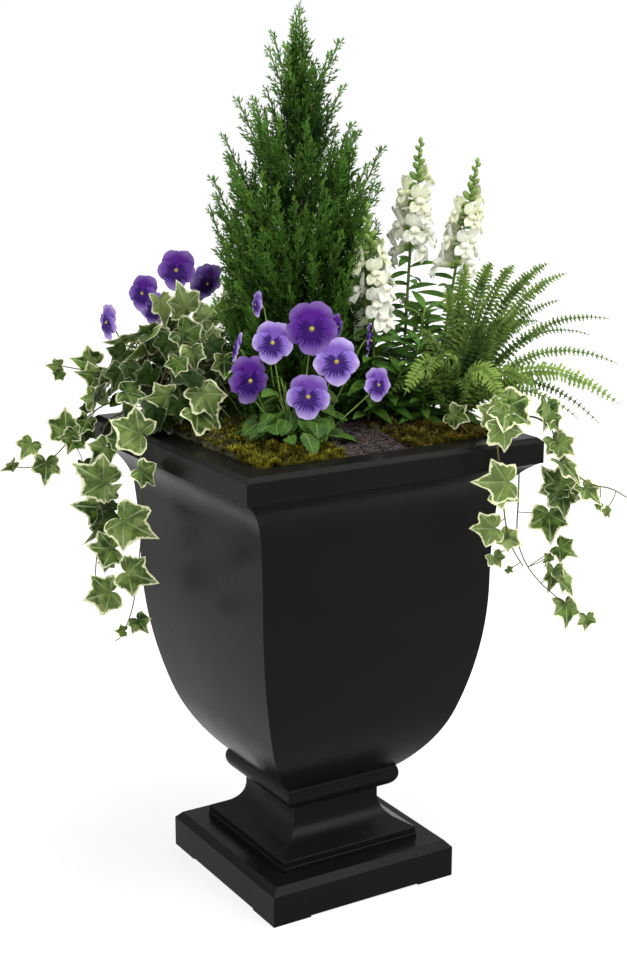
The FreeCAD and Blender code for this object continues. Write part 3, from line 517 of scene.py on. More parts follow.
def group(
    name: str, sockets: dict[str, str], build: Callable[[Tree, bpy.types.Node], dict]
) -> bpy.types.NodeTree:
    """A reusable node group.

    Args:
        name: the group's name.
        sockets: its inputs, each with a socket type.
        build: makes its nodes and gives the outputs by name.

    Returns:
        The group.
    """
    made = bpy.data.node_groups.new(name, "ShaderNodeTree")
    for label, kind in sockets.items():
        made.interface.new_socket(label, in_out="INPUT", socket_type=kind)
    tree = Tree(made)
    outputs = build(tree, tree.node("NodeGroupInput"))
    end = tree.node("NodeGroupOutput")
    kinds = {"RGBA": "NodeSocketColor", "VECTOR": "NodeSocketVector", "VALUE": "NodeSocketFloat"}
    for label, socket in outputs.items():
        made.interface.new_socket(label, in_out="OUTPUT", socket_type=kinds[socket.type])
        tree.feed(end.inputs[label], socket)
    return made


def use(tree: Tree, made: bpy.types.NodeTree, **inputs: object) -> bpy.types.Node:
    """A group node with its inputs set.

    Args:
        tree: where the node goes.
        made: the group.
        inputs: what the group's inputs get.

    Returns:
        The node.
    """
    node = tree.node("ShaderNodeGroup", node_tree=made)
    tree.fill(node, inputs)
    return node


def _mottle(tree: Tree, start: bpy.types.Node) -> dict:
    """Soft uneven colour, and the relief that goes with it.

    Args:
        tree: the group's tree.
        start: the group's inputs.

    Returns:
        Its outputs by name.
    """
    broad = tree.noise(35, 3, 0.6)
    fine = tree.noise(420, 4, 0.65)
    share = tree.span(tree.plus(tree.times(broad, 0.65), tree.times(fine, 0.35)), 0.36, 0.64)
    return {"Colour": tree.mix(share, start.outputs["Dark"], start.outputs["Light"]), "Height": fine}


MOTTLE = group("Mottle", {"Dark": "NodeSocketColor", "Light": "NodeSocketColor"}, _mottle)


def _moulded(tree: Tree, start: bpy.types.Node) -> dict:
    """The faint orange peel of moulded plastic, and where its sheen varies.

    Args:
        tree: the group's tree.
        start: the group's inputs.

    Returns:
        Its outputs by name.
    """
    peel, patch = tree.noise(900, 2, 0.5), tree.noise(9, 3, 0.5)
    rough = tree.plus(start.outputs["Roughness"], tree.span(patch, 0.3, 0.7, -0.025, 0.03))
    return {"Normal": tree.bump(peel, 0.00012, 0.35), "Roughness": rough}


MOULDED = group("Moulded skin", {"Roughness": "NodeSocketFloat"}, _moulded)


def blank(name: str) -> tuple[bpy.types.Material, Tree, bpy.types.Node]:
    """A new material, its tree and its main surface node.

    Args:
        name: the material's name.

    Returns:
        The three.
    """
    made = bpy.data.materials.new(name)
    made.use_nodes = True
    return made, Tree(made.node_tree), made.node_tree.nodes["Principled BSDF"]


@dataclass(frozen=True)
class Plastic:
    """Moulded plastic."""

    name: str
    colour: Colour
    roughness: float
    sheen: float = 0.5  # strength of the surface's own reflection

    def material(self) -> bpy.types.Material:
        """The finish as a material.

        Returns:
            The material.
        """
        made, tree, surface = blank(self.name)
        skin = use(tree, MOULDED, Roughness=self.roughness)
        darker, lighter = (tuple(part * share for part in self.colour) for share in (0.9, 1.12))
        tree.fill(surface, {
            "Base Color": tree.mix(tree.noise(6, 2, 0.5), darker, lighter),
            "Roughness": skin.outputs["Roughness"],
            "Specular IOR Level": self.sheen,
            "Normal": skin.outputs["Normal"],
        })
        return made


@dataclass(frozen=True)
class Grain:
    """Loose or rough matter, such as soil, bark, pebbles, felt or worked steel."""

    name: str
    dark: Colour
    light: Colour
    cell: float  # grains per metre
    depth: float  # relief in metres
    roughness: float = 0.9
    metallic: float = 0.0

    def material(self) -> bpy.types.Material:
        """The finish as a material.

        Returns:
            The material.
        """
        made, tree, surface = blank(self.name)
        cells = tree.node("ShaderNodeTexVoronoi", {"Vector": tree.place(), "Scale": self.cell})
        tone = tree.node("ShaderNodeSeparateXYZ", {0: cells.outputs["Color"]}).outputs[0]
        mottle = use(tree, MOTTLE, Dark=self.dark, Light=self.light)
        height = tree.minus(mottle.outputs["Height"], cells.outputs["Distance"])
        tree.fill(surface, {
            "Base Color": tree.mix(tree.span(tone, 0.1, 0.9), self.dark, mottle.outputs["Colour"]),
            "Roughness": self.roughness,
            "Metallic": self.metallic,
            "Normal": tree.bump(height, self.depth),
        })
        return made


@dataclass(frozen=True)
class Foliage:
    """Thin plant tissue that light shines through. Subclasses paint it."""

    name: str
    deep: Colour
    fresh: Colour
    glow: float = 0.3  # share of light let through
    roughness: float = 0.5
    relief: float = 0.0003
    sheen: float = 0.12  # strength of the surface's own reflection

    def colour(self, tree: Tree) -> tuple[object, object]:
        """The surface colour and the height of its relief.

        Args:
            tree: the material's tree.

        Returns:
            The two, as sockets.
        """
        along, _, tint = tree.paint()
        mottle = use(tree, MOTTLE, Dark=self.deep, Light=self.fresh)
        # the tint adds random tone and, on some plants, painted light and shade
        fresh_and_lit_share = tree.plus(tree.times(along, 0.55), tint, clamp=True)
        tone = tree.mix(fresh_and_lit_share, self.deep, self.fresh)
        return tree.mix(0.32, tone, mottle.outputs["Colour"]), mottle.outputs["Height"]

    def material(self) -> bpy.types.Material:
        """The finish as a material.

        Returns:
            The material.
        """
        made, tree, surface = blank(self.name)
        colour, height = self.colour(tree)
        normal = tree.bump(height, self.relief)
        tree.fill(surface, {
            "Base Color": colour,
            "Roughness": self.roughness,
            "Specular IOR Level": self.sheen,
            "Normal": normal,
        })
        through = tree.node("ShaderNodeBsdfTranslucent", {"Color": colour, "Normal": normal})
        shaders = {0: self.glow, 1: surface.outputs[0], 2: through.outputs[0]}
        both = tree.node("ShaderNodeMixShader", shaders)
        tree.feed(made.node_tree.nodes["Material Output"].inputs["Surface"], both.outputs[0])
        return made


@dataclass(frozen=True)
class VeinedLeaf(Foliage):
    """A leaf with a pale midrib and side veins that slant towards its tip."""

    vein: Colour = srgb(128, 158, 84)
    pairs: float = 6.0

    def colour(self, tree: Tree) -> tuple[object, object]:
        """The colour with its midrib and side veins, and their relief.

        Args:
            tree: the material's tree.

        Returns:
            The two, as sockets.
        """
        along, across, tint = tree.paint()
        off = tree.math("ABSOLUTE", tree.minus(across, 0.5))
        rib = tree.span(off, 0.012, 0.045, 1.0, 0.0)
        wave = tree.math("PINGPONG", tree.minus(tree.times(along, self.pairs), tree.times(off, 3.2)), 0.5)
        side = tree.times(tree.span(wave, 0.0, 0.1, 0.55, 0.0), tree.span(off, 0.38, 0.5, 1.0, 0.2))
        mottle = use(tree, MOTTLE, Dark=self.deep, Light=self.fresh)
        tone = tree.mix(tint, mottle.outputs["Colour"], self.fresh)
        veins = tree.math("MAXIMUM", rib, side)
        return tree.mix(tree.times(veins, 0.55), tone, self.vein), tree.times(veins, -1.0)


@dataclass(frozen=True)
class IvyLeaf(Foliage):
    """A grey-green ivy leaf, marbled with darker green, with a cream edge and pale ribs; a tint below 0
    darkens it, edge and all, as painted shade.
    """

    cream: Colour = srgb(226, 228, 184)
    grey: Colour = srgb(132, 150, 86)
    rib: Colour = srgb(176, 196, 146)
    # angle of each rib from the tip's, and its width, in degrees
    ribs: tuple[tuple[float, float], ...] = ((0, 3.0), (60, 2.6), (-60, 2.6), (118, 2.4), (-118, 2.4))

    def colour(self, tree: Tree) -> tuple[object, object]:
        """The marbled colour with its ribs and cream edge, and the relief of the ribs.

        Args:
            tree: the material's tree.

        Returns:
            The two, as sockets.
        """
        out, turn, tint = tree.paint()
        place = tree.place()
        base = tree.mix(tree.span(tree.noise(70, 3, 0.6, place), 0.38, 0.62), self.deep, self.fresh)
        base = tree.mix(tree.span(tree.noise(38, 2, 0.5, place), 0.52, 0.66, 0.0, 0.75), base, self.grey)
        base = tree.mix(tree.times(tint, 0.6, clamp=True), base, self.grey)
        rib = 0.0
        for angle, width in self.ribs:
            gap = tree.math("ABSOLUTE", tree.minus(turn, 0.5 + angle / 360))
            line = tree.span(gap, 0.3 * width / 360, 1.6 * width / 360, 1.0, 0.0)
            rib = tree.math("MAXIMUM", rib, line)
        rib = tree.times(rib, tree.span(out, 0.75, 1.0, 1.0, 0.0))
        colour = tree.mix(tree.times(rib, 0.6), base, self.rib)
        wander = tree.times(tree.minus(tree.noise(120, 2, 0.6, place), 0.5), 0.34)
        rim = tree.span(tree.plus(out, wander), 0.86, 0.93)
        # a tint below 0 is painted shade: it darkens the cream edge and then the whole leaf
        edge = tree.mix(tree.span(tint, -0.8, 0.0, 0.85, 0.0), self.cream, self.deep)
        colour = tree.mix(tree.span(tint, -0.8, 0.0, 0.12, 1.0), self.deep, colour)
        return tree.mix(rim, colour, edge), tree.times(rib, -1.0)


@dataclass(frozen=True)
class VioletPetal(Foliage):
    """A pansy's petals: u and v are places in the flower's own plane, and tint is the petal's depth
    of colour, with 1 added on petals that carry the dark rays."""

    rim: Colour = srgb(216, 200, 244)
    ray: Colour = srgb(44, 8, 96)
    eye: Colour = srgb(214, 196, 70)

    def colour(self, tree: Tree) -> tuple[object, object]:
        """The petals' colour with rays, paler edge and yellow eye, and a silky relief.

        Args:
            tree: the material's tree.

        Returns:
            The two, as sockets.
        """
        u, v, tint = tree.paint()
        x, y = (tree.minus(tree.times(part, 2.0), 1.0) for part in (u, v))
        away = tree.math("SQRT", tree.plus(tree.math("POWER", x, 2.0), tree.math("POWER", y, 2.0)))
        turn = tree.math("ARCTAN2", y, x)

        def streaks(count: float, along: object, detail: float, rough: float) -> bpy.types.NodeSocket:
            """Noise that runs outward from the eye."""
            place = tree.node("ShaderNodeCombineXYZ", {0: tree.times(turn, count), 1: along})
            return tree.noise(1.0, detail, rough, place.outputs[0])

        rays, silk = streaks(13.0, away, 3, 0.6), streaks(18.0, tree.times(away, 2.0), 2, 0.5)
        rayed = tree.math("GREATER_THAN", tint, 0.99)
        depth = tree.math("FRACT", tint)
        ground = tree.mix(tree.times(depth, 1.05, clamp=True), self.fresh, self.deep)
        ground = tree.mix(tree.span(silk, 0.35, 0.75, 0.0, 0.35), ground, self.deep)
        paler = tree.times(tree.span(away, 0.55, 0.98), tree.span(depth, 0.1, 0.9, 0.95, 0.2))
        ground = tree.mix(paler, ground, self.rim)
        lowest = tree.span(y, -0.35, -0.1, 0.14, 0.0)  # the rays run further down than sideways
        reach = tree.plus(rays, tree.minus(lowest, 0.08))
        blotch = tree.times(tree.span(tree.minus(away, reach), -0.1, 0.07, 1.0, 0.0), rayed)
        ground = tree.mix(tree.times(blotch, 0.93), ground, self.ray)
        throat = tree.span(away, 0.05, 0.11, 1.0, 0.0)
        return tree.mix(tree.times(throat, 0.8), ground, self.eye), silk


@dataclass(frozen=True)
class CreamPetal(Foliage):
    """A snapdragon's petals: ivory, greener at the top of the spike (tint) and in the throat (u)."""

    def colour(self, tree: Tree) -> tuple[object, object]:
        """Ivory, greener where the petal is young or deep in the throat, and a fine relief.

        Args:
            tree: the material's tree.

        Returns:
            The two, as sockets.
        """
        along, _, tint = tree.paint()
        fine = tree.noise(160, 3, 0.6)
        white = tree.mix(tree.span(along, 0.0, 0.42), self.deep, self.fresh)
        white = tree.mix(tree.span(fine, 0.35, 0.75, 0.0, 0.16), white, srgb(214, 214, 190))
        return tree.mix(tree.times(tint, 1.0, clamp=True), white, self.deep), fine


FINISHES = {
    "urn": Plastic("urn_plastic", srgb(16, 16, 15), 0.28, 0.05),
    "cover": Plastic("cover_plastic", srgb(44, 44, 44), 0.55),
    "liner": Plastic("liner_plastic", srgb(52, 52, 50), 0.6),
    "plug": Plastic("plug_plastic", srgb(38, 38, 38), 0.42),
    "seal": Plastic("seal_rubber", srgb(30, 30, 30), 0.75),
    "steel": Grain("fastener_steel", (0.42, 0.42, 0.43), (0.6, 0.6, 0.6), 300, 0.00004, 0.34, 1.0),
    "gravel": Grain("gravel_stone", srgb(104, 98, 90), srgb(182, 174, 160), 95, 0.004, 0.8),
    "felt": Grain("filter_felt", srgb(60, 60, 60), srgb(96, 96, 96), 700, 0.0004, 1.0),
    "soil": Grain("soil", srgb(24, 17, 12), srgb(70, 52, 38), 240, 0.003),
    "bark": Grain("bark", srgb(12, 8, 8), srgb(74, 50, 46), 160, 0.002, 0.5),
    "trunk": Grain("trunk_bark", srgb(34, 28, 22), srgb(84, 68, 52), 220, 0.0012, 0.85),
    "moss_bed": Grain("moss_bed", srgb(24, 24, 8), srgb(84, 84, 22), 260, 0.004, 0.95),
    "moss": Foliage("moss", srgb(22, 24, 6), srgb(150, 142, 44), 0.2, 0.8),
    "moss_brown": Foliage("moss_brown", srgb(34, 30, 10), srgb(118, 106, 38), 0.2, 0.85),
    "conifer": Foliage("conifer_green", srgb(12, 38, 13), srgb(104, 152, 56), 0.22, 0.5),
    "fern": Foliage("fern_green", srgb(28, 62, 18), srgb(140, 168, 78), 0.3, 0.5),
    "stem": Foliage("stem_green", srgb(70, 104, 44), srgb(146, 172, 92), 0.1, 0.5),
    "leaf": VeinedLeaf("leaf_green", srgb(16, 40, 10), srgb(70, 104, 34), 0.22, 0.5),
    "lance": VeinedLeaf("lance_green", srgb(28, 64, 20), srgb(88, 132, 50), 0.28, 0.5, pairs=9.0),
    "vine": Foliage("vine_brown", srgb(52, 44, 28), srgb(112, 112, 70), 0.05, 0.6),
    "ivy": IvyLeaf("ivy_green", srgb(26, 50, 14), srgb(88, 116, 44), 0.25, 0.42),
    "violet": VioletPetal("violet_petal", srgb(82, 26, 132), srgb(152, 122, 214), 0.3, 0.55),
    "cream": CreamPetal("white_petal", srgb(188, 200, 112), srgb(240, 240, 228), 0.3, 0.5),
    "eye": Grain("flower_eye", srgb(206, 180, 80), srgb(244, 230, 150), 2000, 0.0002, 0.6),
}
MATERIALS = {key: finish.material() for key, finish in FINISHES.items()}


# ---------------------------------------------------------------- the urn

NODE_FINISH = {
    "bowl_shell": "urn",
    "pedestal_shell": "urn",
    "base_cover": "cover",
    **dict.fromkeys(("cover_screws", "joint_bolts", "joint_washers", "joint_nuts"), "steel"),
    "drain_plug": "plug",
    "drain_seal": "seal",
    "liner_pot": "liner",
    "gravel": "gravel",
    "filter_fabric": "felt",
    "potting_soil": "soil",
    "conifer_trunk": "trunk",
}


def finish_nodes() -> None:
    """Gives each CAD node that stays its finish."""
    for name, key in NODE_FINISH.items():
        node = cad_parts[name]
        node.data.materials.clear()
        node.data.materials.append(MATERIALS[key])


# ---------------------------------------------------------------- plants


@dataclass(frozen=True)
class Conifer:
    """An upright conifer of feathery sprays, each a plume of sprigs set with scale-like twiglets."""

    foot: Point = (0.005, 0.045, RIM_TOP)
    height: float = 0.628
    plumes: int = 500
    seed: int = 7
    sprigs: tuple[float, ...] = (0.010, 0.016, 0.023, 0.031, 0.040)
    lengths: tuple[float, ...] = (0.085, 0.11, 0.135, 0.16)  # of the plumes, two of each
    depths: tuple[float, ...] = (1.0, 0.72, 0.9, 0.5, 0.82)  # of plumes in turn, as shares of the envelope
    leader_depth: float = 0.03  # how far the leading tips stand nearer or further, in metres
    parts: int = 3  # meshes that the plumes are dealt out to
    # the envelope's radius at shares of the height
    heights: tuple[float, ...] = (0.0, 0.12, 0.3, 0.45, 0.58, 0.68, 0.78, 0.87, 0.94, 1.0)
    radii: tuple[float, ...] = (0.13, 0.138, 0.138, 0.138, 0.13, 0.1, 0.066, 0.038, 0.02, 0.004)
    # pixels of the tips that stand out of the outline
    leaders: tuple[tuple[int, int], ...] = (
        (293, 17), (289, 29), (309, 25), (311, 42), (267, 40), (263, 54), (282, 51), (345, 47),
        (334, 60), (322, 73), (347, 94), (232, 105), (246, 112), (357, 130), (362, 140), (387, 154),
        (219, 143), (207, 184), (211, 204), (214, 216), (215, 242), (222, 162), (372, 172),
    )

    def sprig(self, length: float, luck: np.random.Generator) -> Shape:
        """A sprig along X, with twiglets to either side of it.

        Args:
            length: in metres.
            luck: the random draws.

        Returns:
            The shape.
        """
        leaf, sprig, count = scale_leaf(), Cluster(), max(3, int(length / 0.0042))
        for number in range(count):
            share = number / count
            lean = luck.uniform(26, 42) * (1 if number % 2 else -1) * (1 - 0.3 * share)
            ahead = heading(lean, luck.uniform(-18, 18))
            size = luck.uniform(0.009, 0.0135) * (1 - 0.35 * share)
            sprig.add(leaf, pose((length * share, 0, 0), ahead, UP, size), 0.22 * share)
        sprig.add(leaf, pose((length * 0.78, 0, 0), (1, 0, 0), UP, length * 0.3 + 0.005), 0.3)
        sprig.add(Shape.grid(1, 1, lambda u, v: np.column_stack([u * length, (v - 0.5) * 0.0017, 0 * u])))
        return sprig.joined()

    def plume(self, length: float, luck: np.random.Generator) -> Shape:
        """A spray along X that narrows to its tip, with u from its base to its tip.

        Args:
            length: in metres.
            luck: the random draws.

        Returns:
            The shape.
        """
        plume, count = Cluster(), int(length / 0.0052)
        sprigs = [self.sprig(size, luck) for size in self.sprigs]
        for number in range(count):
            share = (number + 0.5) / count
            reach = 0.04 * min(1.0, 0.4 + 3 * share) * (1 - share) ** 0.75 * luck.uniform(0.7, 1.1)
            sprig = sprigs[int(np.argmin([abs(reach - size) for size in self.sprigs]))]
            turn = math.radians(GOLDEN * number)
            out = np.array([0, math.cos(turn), math.sin(turn)])
            lean = math.radians(luck.uniform(30, 44) * (1 - 0.4 * share))
            ahead = np.array([math.cos(lean), 0, 0]) + out * math.sin(lean)
            base = np.array([length * share, 0, 0.012 * share * share])
            paint = np.column_stack([np.full(len(sprig.paint), share), sprig.paint[:, 1:]])
            place = pose(base, ahead, np.cross(ahead, out) + 0.4 * UP, luck.uniform(0.9, 1.1))
            plume.add(Shape(sprig.points, sprig.quads, paint), place)
        path = np.array([[length * s, 0, 0.012 * s * s] for s in np.linspace(0, 1.04, 6)])
        plume.add(Shape.tube(path, np.linspace(0.0017, 0.0007, 6), 3))
        return plume.joined()

    def build(self) -> None:
        """Makes the sprays and the tip."""
        luck = np.random.default_rng(self.seed)
        plumes = [self.plume(length, luck) for length in self.lengths for _ in range(2)]
        sprays = [Cluster() for _ in range(self.parts)]
        foot = np.array(self.foot)
        for number in range(self.plumes):
            share = 0.1 + 0.86 * (1 - math.sqrt(1 - (number + 0.5) / self.plumes))
            depth = self.depths[number % len(self.depths)] * luck.uniform(0.86, 1.08)
            azimuth = GOLDEN * number + luck.uniform(-14, 14)
            rise = 46 + 26 * share + luck.uniform(-8, 8) + (1 - depth) * 22
            ahead = heading(azimuth + luck.uniform(-16, 16), rise)
            pick = int(luck.integers(0, 8)) if share < 0.72 else int(luck.integers(0, 4))
            length = self.lengths[pick // 2]
            radius = float(np.interp(share, self.heights, self.radii)) * depth
            tip = foot + UP * share * self.height + heading(azimuth) * radius
            # random tone, plus painted shade on plumes set deeper inside the envelope
            tone = luck.uniform(-0.2, 0.2) - 0.9 * (1 - depth)
            size = luck.uniform(0.92, 1.1)
            place = pose(tip - ahead * length * size, ahead, UP, size)
            sprays[number % self.parts].add(plumes[pick], place, tone)
        for number, (u, v) in enumerate(self.leaders):
            tip = seen_at(u, v, foot, self.leader_depth * luck.uniform(-1, 1))
            out = (tip - foot) * (1, 1, 0)
            pick = (0 if v < 35 else 2) + number % 2  # short plumes by the top
            length = self.lengths[pick // 2]
            flat = min(float(np.linalg.norm(out)) / length, 0.55)
            ahead = unit(out) * flat + UP * math.sqrt(1 - flat**2)
            sprays[number % self.parts].add(plumes[pick], pose(tip - ahead * length, ahead, UP), 0.1)
        base = foot + UP * (self.height - 0.156)
        sprays[0].add(self.plume(0.15, luck), pose(base, UP + 0.03 * heading(20), TO_CAMERA), 0.15)
        for index, cluster in enumerate(sprays):
            nodes = ("conifer_core", "conifer_sprays") if index == 0 else ()
            cluster.build(f"conifer_foliage_{index + 1}", "conifer", Slot.CONIFER, *nodes)


@dataclass(frozen=True)
class Fern:
    """Arching fronds from one crown, each with two rows of toothed leaflets."""

    crown: Point = (0.178, -0.13, RIM_TOP)
    # pixel of the tip, metres it is nearer than the crown, arch, length of the leaflets and tone; the tone
    # paints shade on fronds deep in the clump and light on those that reach out
    seen: tuple[tuple[float, ...], ...] = (
        (465, 263, -0.04, 0.1, 0.8, 0.1),
        (447, 285, -0.02, 0.1, 0.7, 0.0),
        (492, 262, 0.0, 0.12, 0.95, 0.0),
        (515, 264, -0.02, 0.06, 0.9, 0.1),
        (549, 263, -0.06, 0.12, 0.7, 0.0),
        (567, 273, 0.0, 0.12, 0.62, 0.05),
        (533, 305, 0.04, 0.1, 0.6, -0.1),
        (505, 318, 0.06, 0.1, 0.95, -0.25),
        (484, 322, 0.05, 0.1, 0.95, -0.3),
        (610, 319, -0.02, 0.26, 0.4, -0.05),
        (590, 335, -0.06, 0.34, 0.35, -0.1),
        (618, 364, 0.03, 0.36, 0.42, 0.1),
        (620, 405, 0.05, 0.5, 0.85, 0.55),
        (599, 423, 0.02, 0.6, 0.4, 0.0),
        (579, 419, 0.06, 0.5, 0.42, 0.05),
        (404, 396, 0.1, 0.9, 0.85, 0.45),
        (386, 398, 0.03, 0.8, 0.5, 0.1),
        (508, 419, 0.15, 0.9, 0.85, 0.5),
        (540, 395, 0.1, 0.6, 0.7, 0.2),
        (420, 330, 0.02, 0.3, 0.7, -0.1),
        (452, 360, 0.1, 0.5, 0.8, 0.0),
        (560, 300, -0.04, 0.14, 0.4, 0.0),
        (430, 372, 0.08, 0.8, 0.7, 0.3),
        (422, 388, 0.0, 0.8, 0.7, -0.25),
        (436, 399, 0.04, 0.8, 0.7, -0.2),
        (466, 396, 0.08, 0.9, 0.7, -0.15),
        (412, 368, -0.03, 0.5, 0.75, -0.3),
    )
    # compass angle, reach and rise of the tip, arch, length of the leaflets and tone, round the back
    hidden: tuple[tuple[float, ...], ...] = (
        (24, 0.205, 0.12, 0.4, 0.8, 0.0),
        (74, 0.17, 0.096, 0.4, 0.8, 0.0),
        (104, 0.12, 0.19, 0.2, 0.8, -0.1),
        (52, 0.15, 0.17, 0.3, 0.8, 0.0),
        (4, 0.17, 0.15, 0.3, 0.7, 0.0),
    )
    pitch: float = 0.0075  # between leaflets along a frond
    longest: float = 0.036  # leaflet of a frond whose leaflets' length is 1
    steps: int = 25  # points along a frond

    def leaflet(self) -> Shape:
        """A narrow toothed leaflet of length 1 and width 1 along X.

        Returns:
            The shape.
        """

        def warp(u: Array, v: Array) -> Array:
            """The toothed outline, folded and drooping."""
            teeth = 1 + 0.3 * np.sign(np.sin(2 * np.pi * 6 * u))
            half = 0.5 * np.minimum(1, 5 * u + 0.5) * (1 - u**2) * teeth + 0.03
            across = (v - 0.5) * 2 * half
            return np.column_stack([u, across + 0.3 * u * u, 0.3 * np.abs(across) - 0.12 * u * u])

        return Shape.grid(12, 2, warp)

    def frond(self, tip: Array, style: tuple[float, ...], leaflet: Shape, cluster: Cluster,
              luck: np.random.Generator) -> None:
        """Adds one frond from the crown, over its high point, to its tip.

        Args:
            tip: where it ends.
            style: its arch, breadth and tone, which carries painted light and shade.
            leaflet: a leaflet's shape.
            cluster: gets the frond.
            luck: the random draws.
        """
        arch, breadth, tone = style
        crown = np.array(self.crown)
        across = (tip - crown) * (1, 1, 0)
        reach, rise = float(np.linalg.norm(across)), float(tip[2] - crown[2])
        high = crown + across * 0.4 + UP * (max(rise, 0.0) * 0.8 + arch * reach)
        share = np.linspace(0, 1, self.steps)[:, None]
        path = crown * (1 - share) ** 2 + high * 2 * share * (1 - share) + tip * share**2
        cluster.add(Shape.tube(path, np.linspace(0.0016, 0.0005, self.steps), 5), None, tone - 0.1)
        length = np.linalg.norm(np.diff(path, axis=0), axis=1).sum()
        count = int(0.88 * length / self.pitch)
        facing = UP * luck.uniform(0.3, 0.6) + TO_CAMERA + heading(luck.uniform(0, 360)) * 0.35
        for number in range(count):
            at = 0.12 + 0.87 * number / count
            spot = at * (len(path) - 1)
            low = min(int(spot), len(path) - 2)
            here = path[low] + (path[low + 1] - path[low]) * (spot - low)
            ahead = unit(path[low + 1] - path[low])
            side = unit(np.cross(ahead, facing))
            normal = np.cross(side, ahead)
            taper = min(1.0, 0.35 + 2.4 * (at - 0.1)) * (1 - at) ** 0.62
            long = breadth * self.longest * taper + 0.0022
            for sign in (-1, 1):
                way = side * sign + ahead * luck.uniform(0.3, 0.62) - normal * luck.uniform(-0.1, 0.4)
                place = pose(here, way, normal, long * luck.uniform(0.82, 1.08))
                place[:3, 1] *= -sign * min(0.8 * self.pitch, 0.5 * long) / long
                cluster.add(leaflet, place, tone + 0.3 * (at - 0.4) + luck.uniform(-0.07, 0.07))

    def build(self) -> None:
        """Makes the fronds."""
        luck = np.random.default_rng(3)
        cluster, leaflet, crown = Cluster(), self.leaflet(), np.array(self.crown)
        for u, v, nearer, *style in self.seen:
            self.frond(seen_at(u, v, crown, nearer), style, leaflet, cluster, luck)
        for azimuth, reach, rise, *style in self.hidden:
            self.frond(crown + heading(azimuth) * reach + UP * rise, style, leaflet, cluster, luck)
        cluster.build("fern_foliage", "fern", Slot.FERN, "fern_fronds")


